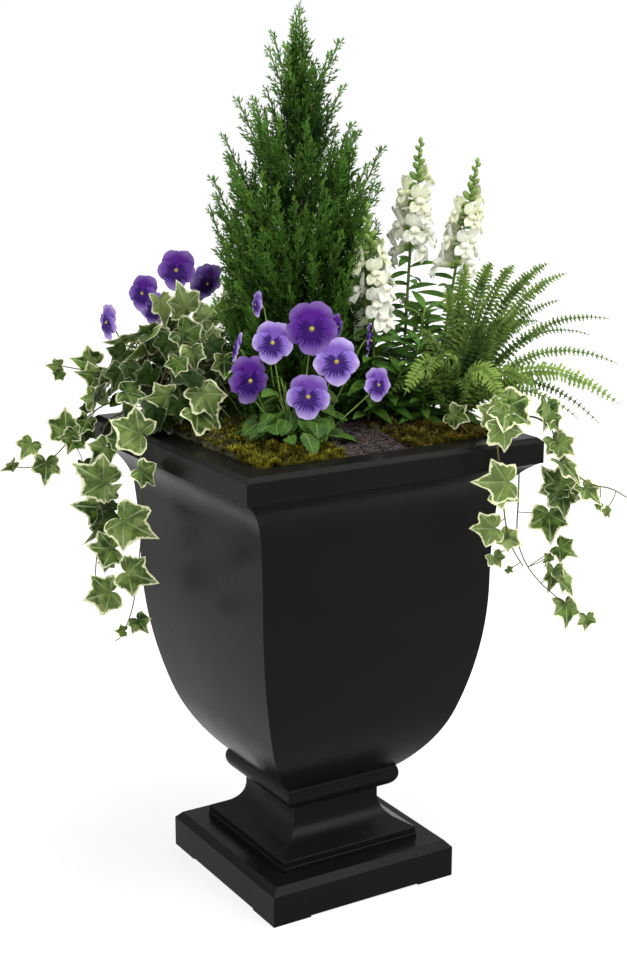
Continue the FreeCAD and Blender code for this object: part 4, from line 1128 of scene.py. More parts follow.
@dataclass(frozen=True)
class Snapdragons:
    """Leafy stems that end in spikes of two-lipped flowers, with green buds at the tip."""

    spikes: tuple[tuple[Point, Point, Point], ...] = (  # foot, first bloom and tip, above the rim
        ((0.15, -0.024, -0.008), (0.162, -0.028, 0.262), (0.174, -0.035, 0.433)),
        ((0.19, -0.052, -0.008), (0.216, -0.073, 0.236), (0.242, -0.089, 0.403)),
        ((0.076, -0.045, -0.008), (0.073, -0.066, 0.162), (0.062, -0.059, 0.342)),
    )
    shoots: tuple[tuple[Point, Point], ...] = (  # foot and tip of each leafy shoot with no flowers
        ((0.125, -0.062, 0.02), (0.133, -0.098, 0.128)),
        ((0.1, -0.05, 0.01), (0.098, -0.1, 0.09)),
        ((0.17, 0.0, 0.02), (0.2, 0.01, 0.15)),
        ((0.14, -0.05, 0.02), (0.155, -0.08, 0.18)),
        ((0.12, -0.03, 0.02), (0.118, -0.05, 0.15)),
        ((0.1, -0.02, 0.02), (0.06, -0.05, 0.11)),
        ((0.17, -0.06, 0.02), (0.18, -0.1, 0.13)),
        ((0.14, -0.1, 0.0), (0.135, -0.11, 0.06)),
        ((0.17, -0.06, 0.0), (0.15, -0.08, 0.075)),
        ((0.2, -0.1, 0.0), (0.19, -0.12, 0.07)),
    )
    open_share: float = 0.64  # of each spike, from its foot
    pitch: float = 0.0051  # between places for a flower or bud, up a spike
    flower_size: float = 0.047
    bud_size: float = 0.017
    stem_leaves: int = 34
    shoot_leaves: int = 20

    @staticmethod
    def lobe(width: float, length: float, curl: float) -> Shape:
        """A rounded ruffled petal along X, curling up at its end.

        Args:
            width: its greatest width.
            length: its length.
            curl: rise of its end as a share of the length, below 0 for a drop.

        Returns:
            The shape.
        """

        def warp(u: Array, v: Array) -> Array:
            """The rounded outline, with its ruffles and curl."""
            angle = (v - 0.5) * 2
            half = width * 0.5 * np.sqrt(np.clip(1 - (2 * u**0.8 - 1) ** 2, 0.02, 1))
            ruffle = 0.13 * length * np.sin(8 * angle + 5 * u) * u * u
            lift = curl * length * u * u + 0.25 * half * angle**2
            return np.column_stack([u * length, angle * half, lift + ruffle])

        return Shape.grid(6, 6, warp)

    def floret(self) -> Shape:
        """An open flower facing along X, its stalk at the origin, about 1 long.

        Returns:
            The shape.
        """
        flower = Cluster()
        path = np.array([[0, 0, 0], [0.16, 0, 0.02], [0.36, 0, 0.03], [0.52, 0, 0.02]])
        flower.add(Shape.tube(path, np.array([0.05, 0.13, 0.15, 0.17]), 8))
        upper, lower = self.lobe(0.5, 0.52, 0.35), self.lobe(0.42, 0.44, -0.4)
        throat = Shape.ball((0.14, 0.13, 0.12), 5, 8)
        for side in (1, -1):
            flower.add(upper, pose((0.36, 0.08 * side, 0.12), heading(28 * side, 62), (-1, 0, 0.6)))
        for turn, rise in ((0, -46), (52, -30), (-52, -30)):
            root = (0.46, 0.1 * math.sin(math.radians(turn)), -0.06)
            flower.add(lower, pose(root, heading(turn, rise), (0.7, 0, 1)))
        for side in (-1, 1):
            flower.add(throat, pose((0.52, 0.08 * side, 0.02), (1, 0, 0), UP))
        whole = flower.joined()
        along = np.clip((np.linalg.norm(whole.points, axis=1) - 0.1) / 0.75, 0, 1)
        return Shape(whole.points, whole.quads, np.column_stack([along, whole.paint[:, 1:]]))

    @staticmethod
    def lance() -> Shape:
        """A narrow pointed leaf of length 1 along X."""
        return leaf_blade(
            10, 4, lambda u: 0.15 * np.sin(np.pi * np.clip(u, 0, 1) ** 0.8) ** 0.85 + 0.006, 0.35, 0.22
        )

    def build(self) -> None:
        """Makes the stems, leaves, flowers and buds."""
        luck = np.random.default_rng(11)
        floret, lance = self.floret(), self.lance()
        stems, leaves, blooms = Cluster(), Cluster(), Cluster()
        bud, cup = Shape.ball((0.5, 0.3, 0.3), 5, 7), Shape.ball((0.14, 0.12, 0.12), 4, 6)
        for index, spike in enumerate(self.spikes):
            foot, first, tip = (np.array(spot) + UP * RIM_TOP for spot in spike)
            path = curve([foot, first, (first + tip) / 2 + heading(30 * index) * 0.003, tip], 30)
            stems.add(Shape.tube(path, np.linspace(0.0028, 0.0012, 31), 7), None, 0.1)
            axis, count = unit(tip - first), int(np.linalg.norm(tip - first) / self.pitch)
            for number in range(count):
                share = number / count
                here = first + (tip - first) * share
                out = heading(GOLDEN * number + luck.uniform(-12, 12))
                if share < self.open_share and number % 4:
                    shrink = 1.0 - 0.36 * share / self.open_share
                    size = self.flower_size * shrink * luck.uniform(0.88, 1.12)
                    ahead = out + axis * luck.uniform(-0.45, 0.35)
                    green = max(0.0, (share - 0.3) * 1.5) + luck.uniform(0, 0.08)
                    blooms.add(floret, pose(here + out * 0.005, ahead, axis, size), green)
                    stems.add(cup, pose(here + out * 0.006, ahead, axis, 0.05), 0.2)
                elif share >= self.open_share:
                    taper = (1.3 - share) / self.open_share
                    ahead = out * 0.75 + axis * 0.8
                    place = pose(here + out * 0.006 * taper, ahead, axis, self.bud_size * taper)
                    stems.add(bud, place, 0.1 + 0.3 * (share - 0.6))
            stems.add(bud, pose(tip - axis * 0.004, axis, TO_CAMERA, 0.011), 0.4)
            for number in range(self.stem_leaves):
                share = 0.12 + 0.86 * number / self.stem_leaves
                here = foot + (first - foot) * share
                out = heading(GOLDEN * number + 40 * index, luck.uniform(-10, 30))
                size = 0.066 * (1.05 - 0.35 * share) * luck.uniform(0.85, 1.1)
                leaves.add(lance, pose(here, out, UP + 0.5 * TO_CAMERA, size), luck.uniform(0, 0.5))
        for foot, tip in self.shoots:
            foot, tip = np.array(foot) + UP * RIM_TOP, np.array(tip) + UP * RIM_TOP
            stems.add(Shape.tube(curve([foot, (foot + tip) / 2, tip], 8), 0.0014, 5))
            for number in range(self.shoot_leaves):
                share = 0.2 + 0.8 * number / (self.shoot_leaves - 1)
                out = heading(GOLDEN * number, -6 + 50 * share * share)
                size = 0.06 * (1.08 - 0.4 * share) * luck.uniform(0.9, 1.1)
                place = pose(foot + (tip - foot) * share, out, UP + 0.4 * TO_CAMERA, size)
                leaves.add(lance, place, luck.uniform(0.1, 0.6))
        stems.build("snapdragon_stalks_and_buds", "stem", Slot.STEM, "snapdragon_stems")
        leaves.build("snapdragon_foliage", "lance", Slot.LEAF, "snapdragon_leaves")
        blooms.build("snapdragon_florets", "cream", Slot.WHITE, "snapdragon_blooms")


@dataclass(frozen=True)
class Violas:
    """Two clumps of pansies: faces of five petals on bent stalks over toothed leaves."""

    clump: Point = (-0.088, -0.096, RIM_TOP)
    size: float = 0.06
    leaf_size: float = 0.033
    clumps: tuple[tuple[Point, int], ...] = (((0, 0, 0), 84), ((-0.055, 0.262, 0), 36))  # feet and leaves
    sepals: int = 5
    sepal_turn: float = 1.257  # radians from one sepal to the next
    blooms: tuple[tuple[Point, float, float, float, float], ...] = (
        # head from the clump's foot, compass angle and rise of its face, size, depth of colour
        ((-0.026, 0.014, 0.15), -122, 10, 0.98, 0.15),
        ((0.0225, -0.0155, 0.1705), -118, 8, 1.22, 1.0),
        ((0.048, -0.042, 0.124), -112, 12, 1.1, 0.08),
        ((-0.002, -0.046, 0.078), -118, 16, 1.04, 0.42),
        ((-0.064, 0.014, 0.098), -84, -4, 1.1, 0.92),
        ((0.1, -0.074, 0.09), -84, 0, 0.78, 0.25),
        ((0.106, -0.042, 0.15), -36, -10, 0.8, 0.75),
        ((-0.068, 0.05, 0.142), 160, 10, 0.72, 0.1),
        ((-0.026, 0.062, 0.2), 176, 0, 0.6, 0.2),
        ((0.072, -0.006, 0.168), -60, -5, 0.6, 0.7),
        ((-0.05, 0.272, 0.23), -128, 8, 1.0, 0.85),
        ((-0.096, 0.3, 0.194), -150, 6, 0.9, 0.75),
        ((-0.088, 0.28, 0.17), -150, -6, 0.84, 0.4),
        ((-0.004, 0.258, 0.208), -84, -26, 0.98, 0.3),
        ((-0.15, 0.318, 0.15), -176, -4, 0.9, 0.1),
        ((0.04, 0.236, 0.15), 88, 10, 0.9, 0.6),
        ((-0.014, 0.286, 0.12), 120, 10, 0.84, 0.4),
    )
    # angle, distance and radius of each petal, how far forward it lies, whether it has rays, and how
    # much deeper its colour is than the flower's
    petals: tuple[tuple[float, float, float, float, bool, float], ...] = (
        (122, 0.46, 0.53, -0.12, False, 0.34),
        (60, 0.46, 0.55, -0.08, False, 0.34),
        (188, 0.46, 0.46, 0.0, True, -0.1),
        (-8, 0.46, 0.46, 0.03, True, -0.1),
        (270, 0.44, 0.52, 0.08, True, -0.3),
    )

    def flower(self, depth: float, luck: np.random.Generator) -> Shape:
        """A flower of radius 1 in the YZ plane, facing along X.

        Args:
            depth: its depth of colour, from 0 to 1.
            luck: the random draws.

        Returns:
            The shape.
        """
        bloom = Cluster()
        for angle, away, radius, forward, rayed, deeper in self.petals:
            turn = math.radians(angle)
            ruffle = luck.uniform(0, 6.28)

            def warp(out: Array, v: Array) -> Array:
                """A frilled disc about the petal's middle."""
                spin = 2 * np.pi * v
                frill = 0.03 * np.sin(5 * spin + ruffle) * out + 0.02 * np.sin(11 * spin) * out**2
                edge = radius * out * (1 + frill)
                a = away * math.cos(turn) + edge * np.cos(spin)
                b = away * math.sin(turn) + edge * np.sin(spin)
                far = np.hypot(a, b)
                wave = 0.05 * np.sin(6 * spin + ruffle) * out**3
                return np.column_stack([forward * np.minimum(1, far * 3) - 0.13 * far**2 + wave, a, b])

            petal = Shape.grid(5, 20, warp)
            place = (petal.points[:, 1:] + 1.05) / 2.1  # the flower's plane, from 0 to 1
            tint = np.full(len(place), min(0.97, max(0.02, depth + deeper)) + rayed)
            bloom.add(Shape(petal.points, petal.quads, np.column_stack([place, tint])))
        return bloom.joined()

    @staticmethod
    def leaf() -> Shape:
        """A spade-shaped leaf of length 1 along X, with a scalloped edge."""
        along, half = (0, 0.06, 0.25, 0.5, 0.75, 0.92, 1), (0.12, 0.62, 1.0, 0.97, 0.7, 0.34, 0.02)
        return leaf_blade(14, 6, lambda u: 0.41 * np.interp(u, along, half), 0.22, 0.2, 0.08)

    def build(self) -> None:
        """Makes the flowers, stalks and leaves."""
        luck = np.random.default_rng(5)
        clump, leaf = np.array(self.clump), self.leaf()
        flowers, stems, leaves, eyes = Cluster(), Cluster(), Cluster(), Cluster()
        feet = [np.array(foot) for foot, _ in self.clumps]
        for spot, azimuth, rise, scale, depth in self.blooms:
            head, face = clump + spot, heading(azimuth, rise)
            radius = self.size * 0.56 * scale
            roll = math.radians(luck.uniform(-16, 16))
            sideways = unit(np.cross(UP, face))
            place = pose(head, face, UP * math.cos(roll) + sideways * math.sin(roll), radius)
            flowers.add(self.flower(depth, luck), place)
            eyes.add(Shape.ball((0.07, 0.03, 0.04), 4, 6), place @ pose((0.04, 0, 0.0), (1, 0, 0), UP))
            near = min(feet, key=lambda foot: math.hypot(foot[0] - spot[0], foot[1] - spot[1]))
            foot = clump + near + 0.25 * (np.array([spot[0], spot[1], 0]) - near)
            neck = head - face * 0.014 - UP * 0.006
            path = curve([foot, (foot + neck) / 2 + face * 0.004, neck - UP * 0.006, head - face * 0.002], 16)
            stems.add(Shape.tube(path, 0.0012, 6), None, 0.2)
            across, upward = place[:3, 1] / radius, place[:3, 2] / radius
            for turn in (number * self.sepal_turn for number in range(self.sepals)):
                way = -face * 0.3 + across * math.cos(turn) + upward * math.sin(turn)
                leaves.add(leaf, pose(head - face * 0.003, way, face, 0.011), 0.2)
        for foot, (_, count) in zip(feet, self.clumps):
            root = clump + foot
            for number in range(count):
                share = (number + 0.5) / count
                flat = heading(GOLDEN * number)
                reach = 0.012 + 0.078 * share * luck.uniform(0.5, 1.1)
                rise = 0.008 + 0.1 * (1 - 0.85 * share) * luck.uniform(0.15, 1.1)
                if flat @ TO_CAMERA > 0.3:  # low in front, where the moss shows below them
                    reach, rise = 0.84 * reach, 0.016 + min(0.6 * rise, 0.034)
                base = root + flat * reach + UP * rise
                stems.add(Shape.tube(curve([root, (root + base) / 2 + UP * 0.008, base], 6), 0.0009, 5))
                ahead = flat + heading(luck.uniform(0, 360)) * 0.5 - UP * luck.uniform(0.0, 0.55)
                facing = UP * 0.7 + flat * 0.5 + TO_CAMERA * 0.35 + heading(luck.uniform(0, 360)) * 0.4
                place = pose(base, ahead, facing, self.leaf_size * luck.uniform(0.7, 1.2))
                leaves.add(leaf, place, luck.uniform(0, 0.5))
        flowers.build("viola_petals", "violet", Slot.VIOLET, "viola_flowers")
        stems.build("viola_stalks", "stem", Slot.STEM, "viola_stems")
        leaves.build("viola_foliage", "leaf", Slot.LEAF, "viola_leaves")
        eyes.build("viola_eyes", "eye", Slot.VIOLET)


@dataclass(frozen=True)
class Vine:
    """One ivy vine: the rim corner it hangs by, the compass angle its leaves face, its route from
    the corner, and its leaves round the back as (share of the vine, side, size, turn of the tip from
    straight down in degrees)."""

    corner: tuple[int, int]
    azimuth: float
    route: tuple[Point, ...]
    leaves: tuple[tuple[float, int, float, float], ...] = ()


VINES = (
    Vine((-1, 1), -120, (
        (0.088, -0.084, 0.004), (0.048, -0.058, 0.026), (0.012, -0.036, 0.022), (-0.012, -0.01, -0.002),
        (-0.034, 0.012, -0.04), (-0.06, 0.038, -0.076), (-0.088, 0.058, -0.088), (-0.114, 0.075, -0.086),
    )),
    Vine((-1, 1), -130, (
        (0.096, -0.04, 0.004), (0.058, -0.026, 0.042), (0.024, 0.002, 0.062), (-0.004, 0.031, 0.068),
        (-0.036, 0.062, 0.074),
    )),
    Vine((-1, 1), -125, (
        (0.092, -0.112, 0.004), (0.04, -0.096, 0.018), (-0.008, -0.088, 0.008), (-0.026, -0.086, -0.036),
        (-0.024, -0.084, -0.11), (-0.03, -0.076, -0.19), (-0.034, -0.07, -0.254), (-0.028, -0.068, -0.286),
    )),
    Vine((-1, -1), -125, (
        (0.084, 0.3, 0.004), (0.036, 0.298, 0.016), (-0.008, 0.294, 0.004), (-0.02, 0.29, -0.04),
        (-0.018, 0.292, -0.118), (-0.022, 0.3, -0.19), (-0.028, 0.312, -0.26), (-0.04, 0.324, -0.306),
        (-0.05, 0.33, -0.318),
    )),
    Vine((1, -1), -112, (
        (-0.092, 0.062, 0.004), (-0.096, 0.028, 0.02), (-0.098, -0.006, 0.014), (-0.096, -0.016, -0.024),
        (-0.09, -0.018, -0.07), (-0.082, -0.018, -0.118), (-0.07, -0.02, -0.156), (-0.052, -0.024, -0.186),
    )),
    Vine((1, -1), -80, (
        (-0.052, 0.092, 0.004), (-0.014, 0.088, 0.022), (0.012, 0.084, 0.002), (0.018, 0.082, -0.05),
        (0.018, 0.08, -0.11), (0.016, 0.078, -0.172), (0.026, 0.07, -0.214), (0.046, 0.056, -0.248),
        (0.072, 0.038, -0.276),
    )),
    Vine((1, -1), -90, (
        (-0.048, 0.054, 0.004), (-0.01, 0.028, 0.028), (0.016, 0.008, 0.012), (0.028, -0.004, -0.024),
        (0.044, -0.014, -0.052), (0.068, -0.028, -0.074), (0.096, -0.044, -0.082), (0.118, -0.056, -0.096),
    )),
    Vine((-1, 1), 100, (
        (0.15, -0.06, 0.004), (0.14, -0.026, 0.024), (0.132, 0.006, 0.012), (0.13, 0.018, -0.03),
        (0.126, 0.02, -0.096), (0.13, 0.022, -0.15),
    ), (
        (0.25, 1, 1.0, 20), (0.42, -1, 1.0, -20), (0.58, 1, 0.9, 20), (0.74, -1, 0.8, -30),
        (0.88, 1, 0.6, 20), (1.0, -1, 0.4, 0),
    )),
    Vine((1, 1), 20, (
        (-0.06, -0.078, 0.004), (-0.022, -0.066, 0.022), (0.01, -0.058, 0.008), (0.02, -0.056, -0.04),
        (0.02, -0.052, -0.104), (0.026, -0.05, -0.17),
    ), (
        (0.25, 1, 1.0, 20), (0.42, -1, 0.95, -20), (0.58, 1, 0.9, 20), (0.74, -1, 0.8, -30),
        (0.88, 1, 0.6, 20), (1.0, -1, 0.4, 0),
    )),
)


MOUND = -1  # stands for a vine's number where a leaf grows on the mound
# The ivy leaves in view, by the number of their vine: pixels of the stalk and of the tip, how far the
# leaf is turned away in degrees, and its tone, paler above 0 and darkened with painted shade below 0.
SEEN_LEAVES: dict[int, tuple[tuple[float, ...], ...]] = {
    MOUND: (  # the mound, from its top down
        (185, 306, 178, 281, 0, 0.9), (160, 301, 168, 326, 30, 1.2), (178, 309, 187, 327, 25, 0.7),
        (205, 319, 222, 300, 15, 0.4), (228, 311, 222, 291, 20, 0.0), (238, 303, 253, 304, 40, 0.6),
        (214, 337, 212, 323, 10, 0.9), (238, 309, 208, 325, 55, 0.1), (132, 337, 104, 346, 55, 0.2),
        (152, 333, 132, 341, 40, -0.6), (150, 336, 121, 368, 58, 0.9), (152, 336, 172, 353, 35, -0.5),
        (182, 333, 207, 350, 20, -0.4), (192, 351, 195, 372, 0, 0.3), (178, 361, 175, 379, 10, -0.2),
        (224, 360, 225, 382, 15, -0.1), (124, 352, 109, 368, 25, -0.7), (121, 371, 113, 393, 30, -0.6),
        (128, 367, 139, 382, 30, -0.6), (126, 392, 152, 395, 30, -0.3), (168, 395, 142, 401, 15, 0.5),
        (203, 393, 221, 420, 30, 0.4), (197, 414, 225, 438, 45, 0.2), (152, 432, 119, 418, 0, 0.5),
        (121, 441, 112, 420, 25, -0.4), (150, 372, 136, 392, 30, -0.7), (190, 378, 205, 395, 30, -0.8),
        (155, 405, 165, 430, 25, -0.8), (178, 402, 182, 424, 20, -0.8), (210, 345, 226, 360, 20, -0.7),
        (168, 340, 162, 360, 20, -0.6),
    ),
    1: (  # the short vine at the left
        (94, 364, 69, 359, 20, -0.1), (98, 375, 74, 374, 25, 0.1), (59, 366, 45, 367, 20, 0.5),
        (60, 373, 54, 382, 20, -0.3), (96, 401, 88, 381, 0, 0.2), (89, 405, 84, 418, 30, -0.6),
    ),
    0: (  # the vine that reaches furthest left
        (66, 432, 65, 404, 5, 0.2), (75, 436, 67, 456, 15, 0.0), (31, 444, 20, 460, 0, 0.3),
        (46, 462, 46, 486, 10, 0.3), (13, 463, 2, 473, 50, 0.2), (101, 418, 94, 434, 20, 0.0),
        (100, 430, 97, 442, 30, -0.8), (96, 463, 99, 480, 40, -0.6),
    ),
    2: (  # the vine down the back of the left face
        (118, 446, 103, 463, 10, -0.1), (133, 478, 102, 461, 0, 0.4), (141, 488, 155, 479, 10, 0.1),
        (130, 507, 112, 500, 25, -0.7), (104, 507, 71, 507, 20, -0.2), (110, 519, 101, 546, 45, -0.3),
        (137, 511, 125, 521, 30, -0.7), (132, 545, 103, 546, 15, 0.1), (110, 545, 98, 549, 20, 0.3),
        (108, 560, 104, 573, 0, 0.2), (130, 589, 100, 598, 10, 0.3),
    ),
    3: (  # the vine down the front of the left face
        (170, 467, 188, 481, 20, 0.3), (164, 514, 196, 534, 0, 0.4), (157, 568, 186, 577, 5, 0.3),
        (138, 620, 149, 634, 0, -0.2), (124, 631, 114, 631, 20, 0.0),
    ),
    4: (  # the front right corner
        (453, 414, 471, 423, 0, -0.1), (498, 415, 474, 405, 10, 1.0), (497, 425, 503, 454, 10, 0.9),
        (506, 407, 535, 427, 20, 0.1), (463, 467, 431, 469, 10, 0.8), (473, 520, 447, 523, 10, 0.8),
        (498, 493, 519, 500, 5, 0.6), (505, 538, 524, 546, 15, 0.7), (493, 556, 501, 569, 0, 0.4),
        (508, 569, 514, 573, 0, 0.3),
    ),
    5: (  # the long vine at the right
        (549, 514, 550, 544, 5, 0.1), (560, 547, 578, 557, 15, 0.1), (548, 556, 548, 569, 50, 0.0),
        (553, 570, 551, 593, 50, 0.3), (558, 577, 577, 599, 50, 0.3), (565, 604, 572, 628, 45, 0.3),
        (586, 617, 587, 633, 30, 0.3),
    ),
    6: (  # the vine that reaches furthest right
        (547, 412, 546, 439, 55, 0.1), (550, 419, 562, 432, 50, 0.2), (547, 441, 558, 461, 20, 0.2),
        (560, 443, 576, 456, 20, 0.6), (560, 462, 582, 483, 55, 0.2), (560, 487, 538, 467, 15, 0.2),
        (560, 491, 574, 485, 20, -0.5), (557, 492, 565, 519, 25, -0.4), (573, 487, 579, 500, 50, 0.4),
        (585, 488, 602, 503, 55, 0.2), (598, 505, 602, 512, 20, 0.0), (606, 510, 612, 519, 50, 0.2),
    ),
}


@dataclass
class Growth:
    """The ivy as it is made: the random draws, the leaf shapes to choose from, and what is added."""

    luck: np.random.Generator
    kinds: list[Shape]
    leaves: Cluster = field(default_factory=Cluster)
    vines: Cluster = field(default_factory=Cluster)


@dataclass(frozen=True)
class Ivy:
    """Variegated ivy: a mound at the left corner and vines that trail over the rim."""

    size: float = 0.058
    mound: int = 60
    arcs: int = 14  # bare stems that arch over the mound
    middle: tuple[float, float] = (-0.66, 0.52)  # of the mound, as shares of the rim's half width
    half: Point = (0.118, 0.15, 0.15)  # half sizes of the mound
    gap: float = 0.003  # least gap between a hanging leaf and the rim that it must lift past
    mouth: float = 0.204  # half the width inside the liner
    steps: int = 60  # along a vine
    # the leaf's outline: its reach every 10 degrees, from the tip round to the stalk
    outline: tuple[float, ...] = (
        1.04, 0.82, 0.67, 0.61, 0.67, 0.77, 0.83, 0.67, 0.59, 0.56,
        0.58, 0.61, 0.62, 0.54, 0.46, 0.36, 0.26, 0.16, 0.05,
    )

    def leaf(self, luck: np.random.Generator) -> Shape:
        """A five-lobed leaf of length 1 along X from its stalk, with u outwards and v round it.

        Args:
            luck: the random draws.

        Returns:
            The shape.
        """
        reach = np.array(self.outline[::-1] + self.outline[1:])
        reach = reach * luck.uniform(0.93, 1.07, len(reach))
        spots = np.linspace(-180, 180, len(reach))
        phase, fold, droop = luck.uniform(0, 6.28), luck.uniform(0.1, 0.34), luck.uniform(0.1, 0.42)

        def warp(u: Array, v: Array) -> Array:
            """The lobed outline, folded, drooping, wavy and ribbed."""
            turn = (v - 0.5) * 360
            out = (0.001 + 0.999 * u) * np.interp(turn, spots, reach) * 0.92
            x, y = out * np.cos(np.radians(turn)), out * np.sin(np.radians(turn))
            wave = 0.05 * np.sin(np.radians(3 * turn) + phase) * u**2
            ribs = 0.035 * np.cos(np.radians(turn) * 6) * out
            return np.column_stack([x, y, fold * np.abs(y) - droop * (x**2 + 0.5 * y**2) + wave - ribs])

        return Shape.grid(4, 36, warp)

    def clear_of_rim(self, leaf: Shape) -> Shape:
        """Moves a leaf above the rim or outside it, so the planting lifts out. A leaf inside the
        mouth stays where it is, and one that hangs below the rim stays below it.

        Args:
            leaf: the leaf in its place.

        Returns:
            The leaf where it then lies.
        """
        low, high = leaf.points.min(axis=0), leaf.points.max(axis=0)
        if max(high[0], high[1], -low[0], -low[1]) < self.mouth:
            return leaf
        reach = RIM_HALF + self.gap
        moves = [(reach - low[axis], np.eye(3)[axis]) for axis in (0, 1)]
        moves += [(reach + high[axis], -np.eye(3)[axis]) for axis in (0, 1)]
        if leaf.points[:, 2].mean() > RIM_TOP:
            moves.append((RIM_TOP + self.gap - low[2], UP))
        distance, way = min(moves, key=lambda move: move[0])
        return Shape(leaf.points + way * max(distance, 0), leaf.quads, leaf.paint)

    def hang(self, place: Array, node: Array, tone: float, growth: Growth) -> None:
        """Adds one leaf and the stalk that joins it to its vine.

        Args:
            place: the leaf's placement.
            node: where its stalk starts.
            tone: its paleness, or below 0 how much painted shade darkens it.
            growth: gets the leaf and the stalk.
        """
        before = growth.kinds[int(growth.luck.integers(0, len(growth.kinds)))].placed(place)
        after = self.clear_of_rim(before)
        growth.leaves.add(after, None, tone)
        base = place[:3, 3] + (after.points[0] - before.points[0])
        sag = (node + base) / 2 + unit(place[:3, 2]) * 0.004
        growth.vines.add(Shape.tube(curve([node, sag, base], 8), 0.0008, 5), None, 0.4)

    def trail(self, vine: Vine, growth: Growth) -> Array:
        """Adds a vine and its leaves round the back.

        Args:
            vine: which one.
            growth: gets the vine and its leaves.

        Returns:
            The vine's line.
        """
        luck = growth.luck
        corner = np.array([*vine.corner, 0]) * RIM_HALF + UP * RIM_TOP
        path = curve([corner + np.array(spot) for spot in vine.route], self.steps)
        growth.vines.add(Shape.tube(path, np.linspace(0.0016, 0.0009, self.steps + 1), 6), None, 0.1)
        for share, side, scale, turn in vine.leaves:
            node = path[int(share * self.steps)]
            facing = heading(vine.azimuth + luck.uniform(-22, 22), luck.uniform(8, 34))
            across = unit(np.cross(UP, facing)) * side
            down = across * math.sin(math.radians(abs(turn))) - UP * math.cos(math.radians(turn))
            base = node + across * 0.011 * scale + facing * 0.006
            place = pose(base, down, facing, self.size * scale)
            self.hang(place, node, luck.uniform(0, 0.5), growth)
        return path

    def seen_leaf(self, row: tuple[float, ...], path: Array | None, heap: Array, growth: Growth) -> None:
        """Adds a leaf where the photograph shows it.

        Args:
            row: its row of SEEN_LEAVES.
            path: its vine's line, or None for a leaf on the mound.
            heap: the middle of the mound.
            growth: gets the leaf and its stalk.
        """
        u, v, tip_u, tip_v, away, tone = row
        luck, ahead = growth.luck, sight(u, v)
        if path is None:
            base = CAMERA + ahead * meet(u, v, heap, np.array(self.half))
            node = heap + (base - heap) * 0.45
        else:
            offset = path - CAMERA
            along = offset @ ahead
            node = path[int(np.argmin(np.linalg.norm(offset - along[:, None] * ahead, axis=1)))]
            base = CAMERA + ahead * float((node - CAMERA) @ ahead)
        distance = float((base - CAMERA) @ ahead)
        way = CAMERA + sight(tip_u, tip_v) * distance - base
        length = float(np.linalg.norm(way))
        way = way + ahead * length * luck.uniform(-0.25, 0.25)
        facing = -ahead - way * float(-ahead @ way) / float(way @ way)
        turn = math.radians(away + luck.uniform(-22, 22) * (1.0 if path is None else 0.6))
        facing = unit(facing) * math.cos(turn) + unit(np.cross(facing, way)) * math.sin(turn)
        self.hang(pose(base, way, facing, length / 0.94), node, tone, growth)

    def fill_mound(self, heap: Array, growth: Growth) -> None:
        """Adds the leaves behind those in view, and the bare stems between them.

        Args:
            heap: the middle of the mound.
            growth: gets the leaves and stems.
        """
        luck, half = growth.luck, np.array(self.half)
        for number in range(self.mound):
            share = (number + 0.5) / self.mound
            out = heading(GOLDEN * number, 80 - 78 * share)
            seen = float(out @ TO_CAMERA) > 0.1
            deep = luck.uniform(0.45, 0.8) if seen else luck.uniform(0.85, 1.02)
            base = heap + out * half * deep
            flat = heading(luck.uniform(0, 360))
            facing = unit(out + UP * 0.3 + heading(luck.uniform(0, 360)) * 0.6)
            # leaves set deep in the mound's front get painted shade; those round the back get random paleness
            tone = luck.uniform(-0.95, -0.35) if seen else luck.uniform(-0.2, 0.4)
            place = pose(base, flat - UP * 0.5, facing, self.size * luck.uniform(0.55, 0.95))
            self.hang(place, heap + out * half * deep * 0.5, tone, growth)
        for share in (number / self.arcs for number in range(self.arcs)):
            start = heap + heading(360 * share) * half * luck.uniform(0.3, 0.7)
            high = heap + heading(360 * share + 50, 60) * half * luck.uniform(0.85, 1.0)
            end = heap + heading(360 * share + 100, luck.uniform(0, 25)) * half * luck.uniform(0.85, 1.0)
            growth.vines.add(Shape.tube(curve([start, high, end], 20), 0.0012, 5), None, 0.5)

    def build(self) -> None:
        """Makes the vines, their leaves and the mound."""
        luck = np.random.default_rng(21)
        growth = Growth(luck, [self.leaf(luck) for _ in range(8)])
        paths = [self.trail(vine, growth) for vine in VINES]
        heap = np.array([*self.middle, 0]) * RIM_HALF + UP * (RIM_TOP + 0.012)
        for vine, rows in SEEN_LEAVES.items():
            for row in rows:
                self.seen_leaf(row, None if vine == MOUND else paths[vine], heap, growth)
        self.fill_mound(heap, growth)
        growth.vines.build("ivy_stems", "vine", Slot.VINE, "ivy_vines")
        growth.leaves.build("ivy_foliage", "ivy", Slot.IVY, "ivy_leaves")


